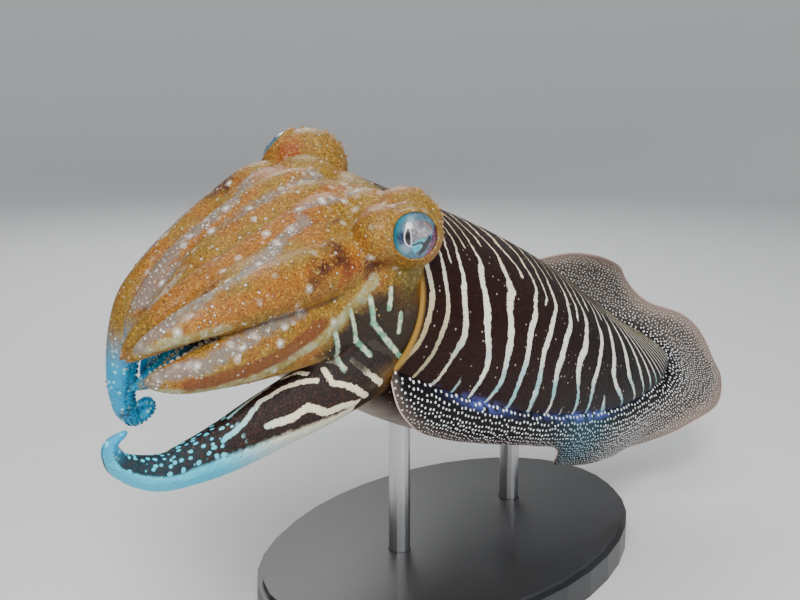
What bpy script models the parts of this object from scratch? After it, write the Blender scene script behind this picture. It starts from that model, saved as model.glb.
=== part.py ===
"""Common cuttlefish, life size, hovering with drooping arms on a plain display stand.

The animal is modelled in its own frame: the middle of the mantle's opening is the origin, the
tail lies towards +X, its right side towards +Y and its back towards +Z. One empty then lifts it
above the stand, raises its head end and banks it to its left.
"""

import math
import random
from dataclasses import dataclass

import bmesh
import bpy
import numpy as np
from mathutils import Matrix, Vector

MM = 0.001
GAP = 0.3                     # free space between neighbouring pieces
MERGE = 0.003                 # corners closer than this after a cut become one
SEED = 11

# How the animal hangs above the floor
NOSE_UP_DEG = 23.5
BANK_DEG = 24.0
ORIGIN_HEIGHT = 118.0
ORIGIN_X = -72.0
ORIGIN_Y = 6.0

# Mantle: half widths and half heights against the distance from its opening (0) to its tip (1)
MANTLE_LENGTH = 212.0
MANTLE_WIDTH = [(0.0, 43.0), (0.15, 47.0), (0.35, 49.0), (0.55, 46.5), (0.7, 41.0), (0.82, 32.0), (0.92, 20.5),
                (0.97, 11.5), (1.0, 2.0)]
MANTLE_HEIGHT = [(0.0, 38.5), (0.15, 41.0), (0.3, 41.5), (0.5, 37.0), (0.7, 25.5), (0.85, 14.0), (0.94, 7.5),
                 (1.0, 1.6)]
BELLY = [(0.0, 0.74), (0.3, 0.86), (1.0, 0.9)]    # the underside is flatter than the back
TAIL_RISE = 39.0
TAIL_RISE_LATE = 0.16         # the share of the rise and the turn that comes close to the tip
TAIL_TURN = 16.0
TAIL_TURN_LATE = 0.7
DORSAL_LOBE = 9.0             # the back's front edge reaches this far over the neck
MANTLE_RINGS = 19
MANTLE_SIDES = 26
RIM_DEPTH = 9.0               # the hollow inside the mantle's free edge
RIM_THICKNESS = 3.0

# Head: x, z, pitch in degrees, half width, half height of each section, neck to crown
HEAD_SECTIONS = [(24, 1, 0, 23, 15), (11, 2, 5, 32, 24), (-2, 3, 15, 37, 32), (-12, 0, 28, 37, 33),
                 (-20, -6, 36, 34, 29), (-26, -12, 42, 29, 23), (-30, -16, 45, 21, 16), (-33, -19, 48, 9, 7)]
HEAD_RINGS = 11
HEAD_SIDES = 22
HEAD_SHIFT = -1.5

# Eyes: the middle of each clear window, the way it looks, and the ball and swelling behind it
EYE_WINDOWS = {"left": ((-20.0, -37.0, 35.0), (-0.62, -0.76, 0.18)),
               "right": ((-17.0, 38.0, 32.0), (-0.62, 0.76, 0.18))}
EYE_RADIUS = 9.5
EYE_WINDOW_RADIUS = 6.4
EYE_WINDOW_FLARE = 1.15
EYE_BULGE_RADIUS = 14.2
EYE_BULGE_DEPTH = 13.2
EYE_BULGE_SHIFT = (3.0, 0.0, 0.5)
LID_THICKNESS = 1.7
LID_SEAT = 0.4                # the lid's ring lies this much behind the window's edge

# Funnel under the head: centre line and radius from root to mouth
FUNNEL_LINE = [(16, 0, -14), (2, -1, -21), (-10, -2, -28), (-19, -2, -33)]
FUNNEL_ROOT = 10.5
FUNNEL_MOUTH = 5.8
FUNNEL_BORE = 3.8
FUNNEL_BORE_DEPTH = 12.0

# Fins: along the side, each station has its place on the mantle, width, droop and sweep in degrees
FIN_BASE_ANGLE = -8.5         # the fins leave the sides a little below the widest line
FIN_LEFT = [(0.03, 5, 60, -10), (0.08, 11, 75, -10), (0.16, 14, 85, -5), (0.3, 15, 92, 0), (0.42, 15, 88, 0),
            (0.5, 17, 85, 0), (0.56, 25, 92, 0), (0.64, 28, 90, 0), (0.74, 29, 88, 2), (0.83, 27, 80, 5),
            (0.9, 25, 55, 15), (0.95, 27, 30, 30), (0.985, 33, 18, 53), (1.0, 35, 8, 76)]
FIN_RIGHT = [(0.03, 5, 20, -10), (0.1, 13, 30, -5), (0.22, 17, 12, 0), (0.34, 19, -8, 0), (0.46, 20, 8, 0),
             (0.6, 22, 28, 0), (0.7, 22, 24, 0), (0.77, 23, -5, 3), (0.82, 28, -50, 6), (0.86, 34, -76, 10),
             (0.9, 36, -86, 14), (0.935, 32, -80, 22), (0.957, 24, -62, 40), (0.973, 21, -45, 66), (0.987, 28, -34, 88),
             (1.0, 35, 8, 104)]
FIN_CROWDING = 1.6            # the stations crowd towards the tail, where the fins turn most
FIN_STEPS = 40
FIN_STRIPS = 4
FIN_ROOT_THICKNESS = 4.5
FIN_EDGE_THICKNESS = 0.9
FIN_ROOT_DEPTH = 5.0
FIN_DROOP_ROOT = 0.67         # how much of its droop a fin has at its root, and at its edge
FIN_DROOP_EDGE = 1.33
FIN_CUTS = (0.36, 0.68)

# Arms
ARM_SIDES = 10
ARM_STEP = 5.5                # length of one ring of facets along an arm
ARM_TIP_RADIUS = 0.9
ARM_ROOT_NARROWING = 0.45
ARM_ROOT_SHARE = 0.16

# Suckers: two rows on each arm's inner face, which shrink towards its tip
SUCKER_SHARE = 0.23           # radius against the arm's half width
SUCKER_LARGEST = 1.8
SUCKER_SMALLEST = 0.55
SUCKER_SPACING = 5.9          # in radii
SUCKER_ROW = 0.45             # distance of a row from the middle line against the half width
SUCKER_TILT = 0.35
SUCKER_RISE = 0.75            # height above the skin, in radii
SUCKER_ROOT = 1.1             # depth below it
SUCKER_NECK = 0.8
SUCKER_SIDES = 6
SUCKER_VARIATION = 0.08
SUCKER_RUN = (0.26, 0.96)    # the stretch of an arm that bears suckers
SUCKER_CLEARANCE = 1.2

# Stand
BASE_LENGTH = 184.0
BASE_WIDTH = 120.0
BASE_THICKNESS = 12.0
BASE_BEVEL = 2.0
BASE_SIDES = 36
ROD_RADIUS = 4.0
ROD_PLACES = {"stand_rod_front": 0.22, "stand_rod_rear": 0.56}
ROD_SOCKET = 5.0
ROD_SIDES = 16

FINISHES = {
    "mantle_skin": ((0.045, 0.022, 0.016), 0.42, 0.0),
    "head_skin": ((0.34, 0.15, 0.045), 0.45, 0.0),
    "arm_skin": ((0.36, 0.17, 0.06), 0.45, 0.0),
    "banded_arm_skin": ((0.10, 0.05, 0.035), 0.42, 0.0),
    "fin_skin": ((0.16, 0.15, 0.16), 0.4, 0.0),
    "funnel_skin": ((0.30, 0.26, 0.22), 0.4, 0.0),
    "eye": ((0.12, 0.32, 0.42), 0.06, 0.0),
    "stand_base": ((0.03, 0.03, 0.032), 0.35, 0.0),
    "stand_rod": ((0.62, 0.62, 0.63), 0.28, 1.0),
}


@dataclass(frozen=True)
class Arm:
    """One arm: its centre line, the way its back faces, its girth and where it is divided."""

    side: str
    number: int
    line: tuple
    back: tuple
    width: float
    depth: float
    cuts: tuple = (0.52,)
    keel: float = 0.0
    slimness: float = 0.75
    finish: str = "arm_skin"


ARMS = [
    Arm("left", 1, ((-12, -6, 26), (-26, -8, 23), (-38, -10, 12), (-49, -12, 0), (-59, -13, -10), (-66, -13, -20),
                    (-68, -11, -29), (-67, -9, -37)), (-0.7, -0.15, 0.7), 15.5, 15.0),
    Arm("right", 1, ((-12, 7, 27), (-26, 8, 24), (-37, 8, 12), (-45, 8, 0), (-52, 7, -11), (-56, 6, -21),
                     (-58, 4, -30), (-56, 2, -39)), (-0.7, 0.15, 0.7), 15.5, 15.0),
    Arm("left", 2, ((-12, -20, 20), (-27, -24, 16), (-42, -27, 7), (-54, -29, 0), (-65, -30, -8), (-72, -29, -15),
                    (-77, -27, -23), (-79, -24, -31)), (-0.55, -0.65, 0.5), 18.0, 15.0),
    Arm("right", 2, ((-8, 24, 26), (-20, 27, 20), (-29, 27, 6), (-37, 25, -7), (-44, 22, -19), (-48, 19, -30),
                     (-47, 16, -40), (-43, 14, -50), (-38, 13, -58), (-33, 12, -63), (-28, 12, -64),
                     (-27, 11, -60)), (-0.7, 0.6, 0.3), 15.5, 14.5, (0.48, 0.78)),
    Arm("left", 3, ((-4, -26, 8), (-19, -30, 2), (-36, -33, -7), (-51, -35, -15), (-62, -35, -22), (-70, -34, -28),
                    (-76, -31, -33)), (-0.25, -0.95, 0.1), 21.0, 14.0, slimness=0.55),
    Arm("right", 3, ((0, 25, 14), (-7, 30, 8), (-14, 31, -5), (-22, 27, -19), (-29, 22, -32), (-33, 17, -42),
                     (-34, 14, -50)), (-0.3, 0.9, -0.1), 16.0, 13.0),
    Arm("left", 4, ((10, -28, 2), (3, -33, -3), (-9, -35, -14), (-20, -35, -25), (-30, -35, -35), (-39, -35, -44),
                    (-48, -35, -51), (-57, -35, -56), (-66, -34, -57), (-74, -34, -55), (-78, -34, -51),
                    (-76, -34, -47)), (-0.3, -0.93, -0.2), 27.0, 13.0, (0.42, 0.76), 2.0, 0.95, "banded_arm_skin"),
    Arm("right", 4, ((10, 22, -8), (3, 25, -18), (-6, 23, -29), (-16, 19, -38), (-25, 15, -45), (-33, 11, -50),
                     (-40, 8, -53)), (-0.2, 0.85, -0.45), 20.0, 12.0, (0.5,), 2.0, 0.9, "banded_arm_skin"),
]


def smooth(stations, place):
    """Value at a place of the smooth curve through (place, value, ...) stations."""
    table = np.array(stations, dtype=float)
    places = table[:, 0]
    values = table[:, 1:]
    slopes = np.gradient(values, places, axis=0)
    place = min(max(place, places[0]), places[-1])
    first = min(int(np.searchsorted(places, place, side="right")) - 1, len(places) - 2)
    span = places[first + 1] - places[first]
    u = (place - places[first]) / span
    blend = (
        (2 * u**3 - 3 * u**2 + 1) * values[first]
        + (u**3 - 2 * u**2 + u) * span * slopes[first]
        + (3 * u**2 - 2 * u**3) * values[first + 1]
        + (u**3 - u**2) * span * slopes[first + 1]
    )
    return blend[0] if len(blend) == 1 else blend


def measured(points):
    """Stations of a line: its running length beside each of its points."""
    points = np.array(points, dtype=float)
    steps = np.linalg.norm(np.diff(points, axis=0), axis=1)
    lengths = np.concatenate([[0.0], np.cumsum(steps)])
    return np.column_stack([lengths, points])


def unit(vector):
    """Vector of length one in the same direction."""
    vector = np.array(vector, dtype=float)
    return vector / np.linalg.norm(vector)


def make_material(name):
    """Principled material of one finish."""
    colour, roughness, metallic = FINISHES[name]
    material = bpy.data.materials.new(name)
    material.use_nodes = True
    shader = material.node_tree.nodes["Principled BSDF"]
    shader.inputs["Base Color"].default_value = (*colour, 1.0)
    shader.inputs["Roughness"].default_value = roughness
    shader.inputs["Metallic"].default_value = metallic
    material.diffuse_color = (*colour, 1.0)
    return material


def add_object(name, mesh_data, collection, material=None):
    """Object that shows a mesh, in a collection."""
    obj = bpy.data.objects.new(name, mesh_data)
    collection.objects.link(obj)
    if material:
        mesh_data.materials.append(material)
    return obj


def mesh_from(bm, name):
    """Mesh of a bmesh, with its faces turned outwards and split into triangles."""
    bmesh.ops.recalc_face_normals(bm, faces=bm.faces)
    bmesh.ops.triangulate(bm, faces=bm.faces, quad_method="FIXED")
    mesh_data = bpy.data.meshes.new(name)
    bm.to_mesh(mesh_data)
    bm.free()
    mesh_data.shade_smooth()
    mesh_data.set_sharp_from_angle(angle=math.radians(50))
    return mesh_data


def loft(name, rings):
    """Closed mesh through rings of points in millimetres, with a fan over each end."""
    bm = bmesh.new()
    rows = [[bm.verts.new(Vector(point) * MM) for point in ring] for ring in rings]
    for row, following in zip(rows, rows[1:]):
        for index, corner in enumerate(row):
            beside = (index + 1) % len(row)
            bm.faces.new((corner, row[beside], following[beside], following[index]))
    for ring, row in ((rings[0], rows[0]), (rings[-1], rows[-1])):
        middle = bm.verts.new(Vector(np.mean(ring, axis=0)) * MM)
        for index, corner in enumerate(row):
            bm.faces.new((corner, row[(index + 1) % len(row)], middle))
    return mesh_from(bm, name)


def sphere(name, centre, radius, segments=16, rings=10):
    """Ball in millimetres."""
    bm = bmesh.new()
    bmesh.ops.create_uvsphere(bm, u_segments=segments, v_segments=rings, radius=radius * MM)
    bmesh.ops.translate(bm, vec=Vector(centre) * MM, verts=bm.verts)
    return mesh_from(bm, name)


def apply_modifiers(obj):
    """Replace an object's mesh by the one that its modifiers make."""
    graph = bpy.context.evaluated_depsgraph_get()
    result = bpy.data.meshes.new_from_object(obj.evaluated_get(graph))
    old = obj.data
    obj.modifiers.clear()
    obj.data = result
    bpy.data.meshes.remove(old)


def keep_largest(obj):
    """Leave only the closed surface that encloses the most."""
    bm = bmesh.new()
    bm.from_mesh(obj.data)
    bmesh.ops.remove_doubles(bm, verts=bm.verts, dist=MERGE * MM)
    bmesh.ops.dissolve_degenerate(bm, dist=MERGE * MM, edges=bm.edges)
    bmesh.ops.triangulate(bm, faces=bm.faces)
    unseen = set(bm.faces)
    shells = []
    while unseen:
        shell = set()
        front = [unseen.pop()]
        while front:
            face = front.pop()
            shell.add(face)
            for edge in (edge for edge in face.edges if edge.is_manifold):
                for neighbour in edge.link_faces:
                    if neighbour in unseen:
                        unseen.remove(neighbour)
                        front.append(neighbour)
        shells.append(shell)
    largest = max(shells, key=enclosed)
    scraps = [face for shell in shells if shell is not largest for face in shell]
    bmesh.ops.delete(bm, geom=scraps, context="FACES")
    bmesh.ops.delete(bm, geom=[corner for corner in bm.verts if not corner.link_faces], context="VERTS")
    bm.to_mesh(obj.data)
    bm.free()


def enclosed(faces):
    """Volume inside a set of triangles."""
    total = 0.0
    for face in faces:
        a, b, c = (corner.co for corner in face.verts)
        total += a.dot(b.cross(c)) / 6.0
    return abs(total)


def combine(obj, pieces, operation, tools):
    """Join closed meshes to an object, or cut them from it, in one Boolean on their collection."""
    group = bpy.data.collections.new(obj.name + "_" + operation.lower())
    tools.children.link(group)
    cutters = [add_object(obj.name + "_tool", piece, group) for piece in pieces]
    boolean = obj.modifiers.new(operation, "BOOLEAN")
    boolean.operation = operation
    boolean.solver = "EXACT"
    boolean.operand_type = "COLLECTION"
    boolean.collection = group
    apply_modifiers(obj)
    for cutter in cutters:
        bpy.data.objects.remove(cutter)
    bpy.data.collections.remove(group)
    keep_largest(obj)


def swollen(obj, gap=GAP):
    """Copy of an object's mesh with every face moved outwards by the gap."""
    bm = bmesh.new()
    bm.from_mesh(obj.data)
    bm.normal_update()
    moves = [corner.normal * gap * MM * min(corner.calc_shell_factor(), 1.6) for corner in bm.verts]
    for corner, move in zip(bm.verts, moves):
        corner.co += move
    copy = bpy.data.meshes.new(obj.name + "_swollen")
    bm.to_mesh(copy)
    bm.free()
    return copy


def touching(obj, other):
    """Whether the boxes of two objects come within a gap of each other."""
    reach = 2 * GAP * MM
    for axis in range(3):
        low, high = (pick(corner.co[axis] for corner in obj.data.vertices) for pick in (min, max))
        other_low, other_high = (pick(corner.co[axis] for corner in other.data.vertices) for pick in (min, max))
        if low > other_high + reach or other_low > high + reach:
            return False
    return True


def fit_between(obj, neighbours, tools, gap=GAP):
    """Cut an object back from each neighbour by the gap."""
    near = [swollen(neighbour, gap) for neighbour in neighbours if touching(obj, neighbour)]
    if near:
        combine(obj, near, "DIFFERENCE", tools)


def mantle_centre(place):
    """Middle of the mantle's section at a place from its opening (0) to its tip (1)."""
    turn = TAIL_TURN * ((1.0 - TAIL_TURN_LATE) * place**2 + TAIL_TURN_LATE * place**4)
    rise = TAIL_RISE * ((1.0 - TAIL_RISE_LATE) * place**2 + TAIL_RISE_LATE * place**4)
    return np.array([MANTLE_LENGTH * place, -turn, rise])


def mantle_point(place, angle):
    """Point on the mantle's surface: angle 0 is the right side and 90 degrees the back."""
    swing = math.radians(angle)
    across = smooth(MANTLE_WIDTH, place) * math.cos(swing)
    up = smooth(MANTLE_HEIGHT, place) * math.sin(swing)
    if up < 0.0:
        up *= smooth(BELLY, place)
    lobe = DORSAL_LOBE * max(0.0, math.sin(swing)) ** 3 * (1.0 - place) ** 4
    return mantle_centre(place) + np.array([-lobe, across, up])


def mantle_ring(place, scale=1.0, inset=0.0):
    """Ring of points round the mantle, scaled about its middle and moved inwards along it."""
    centre = mantle_centre(place) + np.array([inset, 0.0, 0.0])
    ring = []
    for index in range(MANTLE_SIDES):
        point = mantle_point(place, 360.0 * index / MANTLE_SIDES) + np.array([inset, 0.0, 0.0])
        ring.append(centre + (point - centre) * scale)
    return ring


def build_mantle(collection, tools, head):
    """Mantle, a blunt cone hollowed at its free front edge for the neck."""
    lip = 1.0 - RIM_THICKNESS / smooth(MANTLE_WIDTH, 0.0)
    rings = [mantle_ring(0.0, lip, RIM_DEPTH), mantle_ring(0.0, lip, 1.0)]
    rings += [mantle_ring(index / MANTLE_RINGS) for index in range(MANTLE_RINGS + 1)]
    mantle = add_object("mantle", loft("mantle", rings), collection, make_material("mantle_skin"))
    fit_between(mantle, [head], tools)
    return mantle


def head_ring(place):
    """Ring round the head at a place from the neck (0) to the crown of arms (1)."""
    stations = [(index / (len(HEAD_SECTIONS) - 1), *section) for index, section in enumerate(HEAD_SECTIONS)]
    x, z, pitch, half_width, half_height = smooth(stations, place)
    lean = math.radians(pitch)
    up = np.array([-math.sin(lean), 0.0, math.cos(lean)])
    ring = []
    for index in range(HEAD_SIDES):
        swing = 2.0 * math.pi * index / HEAD_SIDES
        point = np.array([x, HEAD_SHIFT + half_width * math.cos(swing), z])
        ring.append(point + up * half_height * math.sin(swing))
    return ring


def torus(name, centre, axis, radius, thickness, turns=16, sides=6):
    """Ring of round section about an axis, in millimetres."""
    spin = Vector(axis).to_track_quat("Z", "Y").to_matrix()
    bm = bmesh.new()
    rows = []
    for turn in range(turns):
        swing = 2.0 * math.pi * turn / turns
        row = []
        for side in range(sides):
            roll = 2.0 * math.pi * side / sides
            reach = radius + thickness * math.cos(roll)
            point = Vector((reach * math.cos(swing), reach * math.sin(swing), thickness * math.sin(roll)))
            row.append(bm.verts.new((spin @ point + Vector(centre)) * MM))
        rows.append(row)
    for turn, row in enumerate(rows):
        following = rows[(turn + 1) % turns]
        for side in range(sides):
            beside = (side + 1) % sides
            bm.faces.new((row[side], following[side], following[beside], row[beside]))
    return mesh_from(bm, name)


def eye_centre(side):
    """Middle of the eyeball behind its clear window."""
    window, look = EYE_WINDOWS[side]
    return np.array(window) - unit(look) * EYE_RADIUS


def build_eye(side, collection):
    """Eyeball of one side."""
    ball = sphere("eye_" + side, eye_centre(side), EYE_RADIUS)
    return add_object("eye_" + side, ball, collection, make_material("eye"))


def build_head(collection, tools, eyes):
    """Head with a swelling and a round lid about each eye, and its form before the lids open."""
    rings = [head_ring(index / HEAD_RINGS) for index in range(HEAD_RINGS + 1)]
    head = add_object("head", loft("head", rings), collection, make_material("head_skin"))
    additions = []
    for side, (window, look) in EYE_WINDOWS.items():
        inwards = -unit(look)
        bulge = np.array(window) + inwards * EYE_BULGE_DEPTH + np.array(EYE_BULGE_SHIFT)
        additions.append(sphere("bulge", bulge, EYE_BULGE_RADIUS))
        reach = math.sqrt(EYE_RADIUS**2 - EYE_WINDOW_RADIUS**2)
        lid = eye_centre(side) - inwards * (reach - LID_SEAT)
        additions.append(torus("lid", lid, look, EYE_WINDOW_RADIUS + LID_THICKNESS, LID_THICKNESS))
    combine(head, additions, "UNION", tools)
    form = add_object("head_form", head.data.copy(), tools)
    windows = [window_cutter(side) for side in EYE_WINDOWS]
    combine(head, windows + [swollen(eye) for eye in eyes], "DIFFERENCE", tools)
    return head, form


def window_cutter(side):
    """Short cone that opens the lids over an eyeball."""
    _, look = EYE_WINDOWS[side]
    bm = bmesh.new()
    bmesh.ops.create_cone(bm, cap_ends=True, segments=16, radius1=EYE_WINDOW_RADIUS * MM,
                          radius2=EYE_WINDOW_RADIUS * EYE_WINDOW_FLARE * MM, depth=EYE_RADIUS * MM)
    middle = eye_centre(side) + unit(look) * EYE_RADIUS
    turn = Vector(look).to_track_quat("Z", "Y").to_matrix().to_4x4()
    bmesh.ops.transform(bm, matrix=Matrix.Translation(Vector(middle) * MM) @ turn, verts=bm.verts)
    return mesh_from(bm, "window")


def build_funnel(collection, tools, neighbours):
    """Funnel, a short tapered tube under the head with a blind mouth."""
    line = measured(FUNNEL_LINE)
    length = line[-1, 0]
    funnel = tube("funnel", line, 0.0, length, (0.0, 0.0, 1.0), funnel_girth, 12, 5)
    funnel = add_object("funnel", funnel, collection, make_material("funnel_skin"))
    mouth = tube("bore", line, length - FUNNEL_BORE_DEPTH, length + 2.0, (0.0, 0.0, 1.0),
                 lambda u: (FUNNEL_BORE, FUNNEL_BORE, 0.0), 8, 2)
    combine(funnel, [mouth], "DIFFERENCE", tools)
    fit_between(funnel, neighbours, tools)
    return funnel


def funnel_girth(u):
    """Half width, half depth and keel of the funnel at a share of its length."""
    radius = FUNNEL_ROOT + (FUNNEL_MOUTH - FUNNEL_ROOT) * u
    return radius, radius * 0.85, 0.0


def line_frame(line, length, back):
    """Point, heading, sideways and back directions at a length along a measured line."""
    step = 0.5
    here = smooth(line, length)
    middle = min(max(length, step), line[-1, 0] - step)
    start = smooth(line, middle - step)
    end = smooth(line, middle + step)
    heading = unit(end - start)
    if length > line[-1, 0]:
        here = here + heading * (length - line[-1, 0])
    sideways = unit(np.cross(heading, back))
    return here, heading, sideways, np.cross(sideways, heading)


def tube(name, line, start, end, back, girth, sides, steps):
    """Closed tube along part of a measured line, flattened and keeled as its girth says."""
    rings = []
    for index in range(steps + 1):
        length = start + (end - start) * index / steps
        here, _, sideways, outwards = line_frame(line, length, back)
        half_width, half_depth, keel = girth(min(length / line[-1, 0], 1.0))
        ring = []
        for side in range(sides):
            swing = 2.0 * math.pi * side / sides
            across = half_width * math.cos(swing)
            out = half_depth * math.sin(swing) + keel * max(0.0, math.sin(swing)) ** 4
            ring.append(here + sideways * across + outwards * out)
        rings.append(ring)
    return loft(name, rings)


def arm_girth(arm, u):
    """Half width, half depth and keel of an arm at a share of its length."""
    fullness = (1.0 - u**2.2) ** arm.slimness
    fullness *= 1.0 - ARM_ROOT_NARROWING * max(0.0, 1.0 - u / ARM_ROOT_SHARE) ** 2
    half_width = ARM_TIP_RADIUS + (arm.width / 2 - ARM_TIP_RADIUS) * fullness
    half_depth = ARM_TIP_RADIUS + (arm.depth / 2 - ARM_TIP_RADIUS) * fullness
    return half_width, half_depth, arm.keel * fullness


def sucker(place, outwards, radius):
    """Blunt cup of few sides that stands on the skin and is rooted in the arm."""
    height = (SUCKER_RISE + SUCKER_ROOT) * radius
    bm = bmesh.new()
    bmesh.ops.create_cone(bm, cap_ends=True, segments=SUCKER_SIDES, radius1=SUCKER_NECK * radius * MM,
                          radius2=radius * MM, depth=height * MM)
    middle = place + outwards * (SUCKER_RISE * radius - height / 2)
    turn = Vector(outwards).to_track_quat("Z", "Y").to_matrix().to_4x4()
    bmesh.ops.transform(bm, matrix=Matrix.Translation(Vector(middle) * MM) @ turn, verts=bm.verts)
    return mesh_from(bm, "sucker")


def clear_of_arms(arm, point):
    """Whether a point keeps clear of every other arm."""
    for other in ARMS:
        if other is arm:
            continue
        line = measured(other.line)
        for share in np.linspace(0.0, 1.0, 24):
            reach = arm_girth(other, share)[0] + SUCKER_CLEARANCE
            if np.linalg.norm(smooth(line, share * line[-1, 0]) - point) < reach:
                return False
    return True


def clear_of_head(form, point):
    """Whether a point lies well outside the head."""
    _, nearest, normal, _ = form.closest_point_on_mesh(Vector(point) * MM)
    return (Vector(point) * MM - nearest).dot(normal) > (SUCKER_CLEARANCE + SUCKER_LARGEST) * MM


def suckers_between(arm, line, start, end, form, chance):
    """Suckers in two staggered rows on the inner face of one length of an arm."""
    total = line[-1, 0]
    found = []
    for row in (-1.0, 1.0):
        length = SUCKER_RUN[0] * total + (1.0 + row)
        while length < SUCKER_RUN[1] * total:
            half_width, half_depth, _ = arm_girth(arm, length / total)
            radius = min(SUCKER_LARGEST, max(SUCKER_SMALLEST, SUCKER_SHARE * half_width))
            radius *= 1.0 + chance.uniform(-SUCKER_VARIATION, SUCKER_VARIATION)
            here, _, sideways, outwards = line_frame(line, length, arm.back)
            depth = half_depth * math.sqrt(1.0 - SUCKER_ROW**2)
            place = here + sideways * half_width * SUCKER_ROW * row - outwards * depth
            facing = unit(sideways * SUCKER_TILT * row - outwards)
            inside = start + radius + GAP < length < end - radius - GAP
            if inside and clear_of_head(form, place) and clear_of_arms(arm, place + facing * radius):
                found.append(sucker(place, facing, radius))
            length += SUCKER_SPACING * radius
    return found


def arm_names(arm):
    """Names of an arm's lengths from root to tip."""
    lengths = ("base", "tip") if len(arm.cuts) == 1 else ("base", "middle", "tip")
    return [f"arm_{arm.side}_{arm.number}_{length}" for length in lengths]


def build_arm(arm, collection, tools, neighbours, form, chance):
    """Arm in a few lengths, cut back from the pieces that it grows from and lies beside."""
    line = measured(arm.line)
    total = line[-1, 0]
    bounds = [0.0, *(cut * total for cut in arm.cuts), total]
    pieces = []
    for name, start, end in zip(arm_names(arm), bounds, bounds[1:]):
        start += GAP if start > 0.0 else 0.0
        steps = max(3, round((end - start) / ARM_STEP))
        shape = tube(name, line, start, end, arm.back, lambda u: arm_girth(arm, u), ARM_SIDES, steps)
        piece = add_object(name, shape, collection, make_material(arm.finish))
        fit_between(piece, neighbours, tools)
        suckers = suckers_between(arm, line, start, end, form, chance)
        if suckers:
            combine(piece, suckers, "UNION", tools)
        pieces.append(piece)
    return pieces


def fin_frame(place):
    """Tailward, outward and upward directions of the mantle at a place, outward being the right."""
    ahead = mantle_centre(min(place + 0.01, 1.0)) - mantle_centre(min(place + 0.01, 1.0) - 0.02)
    tailward = unit(ahead)
    right = unit(np.cross((0.0, 0.0, 1.0), tailward))
    return tailward, right, np.cross(tailward, right)


def fin_strip(side, station):
    """Points from the fin's root inside the mantle to its edge, with the thickness at each."""
    place, width, droop, sweep = station
    hand = -1.0 if side == "left" else 1.0
    tailward, right, up = fin_frame(place)
    angle = FIN_BASE_ANGLE if side == "right" else 180.0 - FIN_BASE_ANGLE
    point = mantle_point(place, angle)
    swing = math.radians(sweep)
    outward = hand * right * math.cos(swing) + tailward * math.sin(swing)
    inward = hand * right * FIN_ROOT_DEPTH * min(1.0, smooth(MANTLE_WIDTH, place) / 20.0)
    points = [point - inward]
    points.append(point)
    for strip in range(FIN_STRIPS):
        share = strip / (FIN_STRIPS - 1)
        bend = math.radians(droop) * (FIN_DROOP_ROOT + (FIN_DROOP_EDGE - FIN_DROOP_ROOT) * share)
        fall = math.sin(bend)
        reach = math.cos(bend)
        point = point + (outward * reach - up * fall) * width / FIN_STRIPS
        points.append(point)
    return points


def fin_thickness(index):
    """Thickness of a fin at a point of its strip, root first."""
    share = max(0, index - 1) / FIN_STRIPS
    return FIN_ROOT_THICKNESS + (FIN_EDGE_THICKNESS - FIN_ROOT_THICKNESS) * share**0.6


def fin_piece(name, side, start, end):
    """Closed sheet between two places along a fin, with alike triangles on both faces."""
    stations = FIN_LEFT if side == "left" else FIN_RIGHT
    first = stations[0][0]
    steps = max(4, round(FIN_STEPS * (end - start)))
    strips = []
    for index in range(steps + 1):
        run = start + (end - start) * index / steps
        place = first + (1.0 - first) * (1.0 - (1.0 - run) ** FIN_CROWDING)
        strips.append(fin_strip(side, (place, *smooth(stations, place))))
    grid = np.array(strips)
    along = np.gradient(grid, axis=0)
    across = np.gradient(grid, axis=1)
    normals = np.cross(along, across)
    normals /= np.linalg.norm(normals, axis=2, keepdims=True)
    half = np.array([fin_thickness(index) / 2 for index in range(grid.shape[1])])[None, :, None]
    bm = bmesh.new()
    faces = [[[bm.verts.new(Vector(point) * MM) for point in row] for row in grid + normals * half * way]
             for way in (1.0, -1.0)]
    for row in range(grid.shape[0] - 1):
        for column in range(grid.shape[1] - 1):
            corners = ((row, column), (row, column + 1), (row + 1, column + 1), (row + 1, column))
            for triangle in ((0, 1, 2), (0, 2, 3)):
                for sheet in faces:
                    bm.faces.new([sheet[corners[pick][0]][corners[pick][1]] for pick in triangle])
    for edge in [edge for edge in bm.edges if edge.is_boundary and edge.verts[0] in sheet_set(faces[0])]:
        close_edge(bm, edge, faces)
    return mesh_from(bm, name)


def sheet_set(sheet):
    """All corners of one face of a sheet."""
    return {corner for row in sheet for corner in row}


def close_edge(bm, edge, faces):
    """Join one border edge of the sheet's first face to the same edge of its second."""
    partner = {}
    for row, other in zip(*faces):
        partner.update(zip(row, other))
    start, end = edge.verts
    bm.faces.new((start, end, partner[end]))
    bm.faces.new((start, partner[end], partner[start]))


def build_fin(side, collection, tools, neighbours):
    """Fin of one side in three lengths from the mantle's opening round to the middle of the tail."""
    pieces = []
    bounds = (0.0, *FIN_CUTS, 1.0)
    split = GAP / MANTLE_LENGTH
    for label, start, end in zip(("front", "middle", "rear"), bounds, bounds[1:]):
        name = f"fin_{side}_{label}"
        start += split if start > 0.0 else 0.0
        shape = fin_piece(name, side, start, end)
        piece = add_object(name, shape, collection, make_material("fin_skin"))
        fit_between(piece, neighbours + pieces, tools)
        pieces.append(piece)
    return pieces


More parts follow.
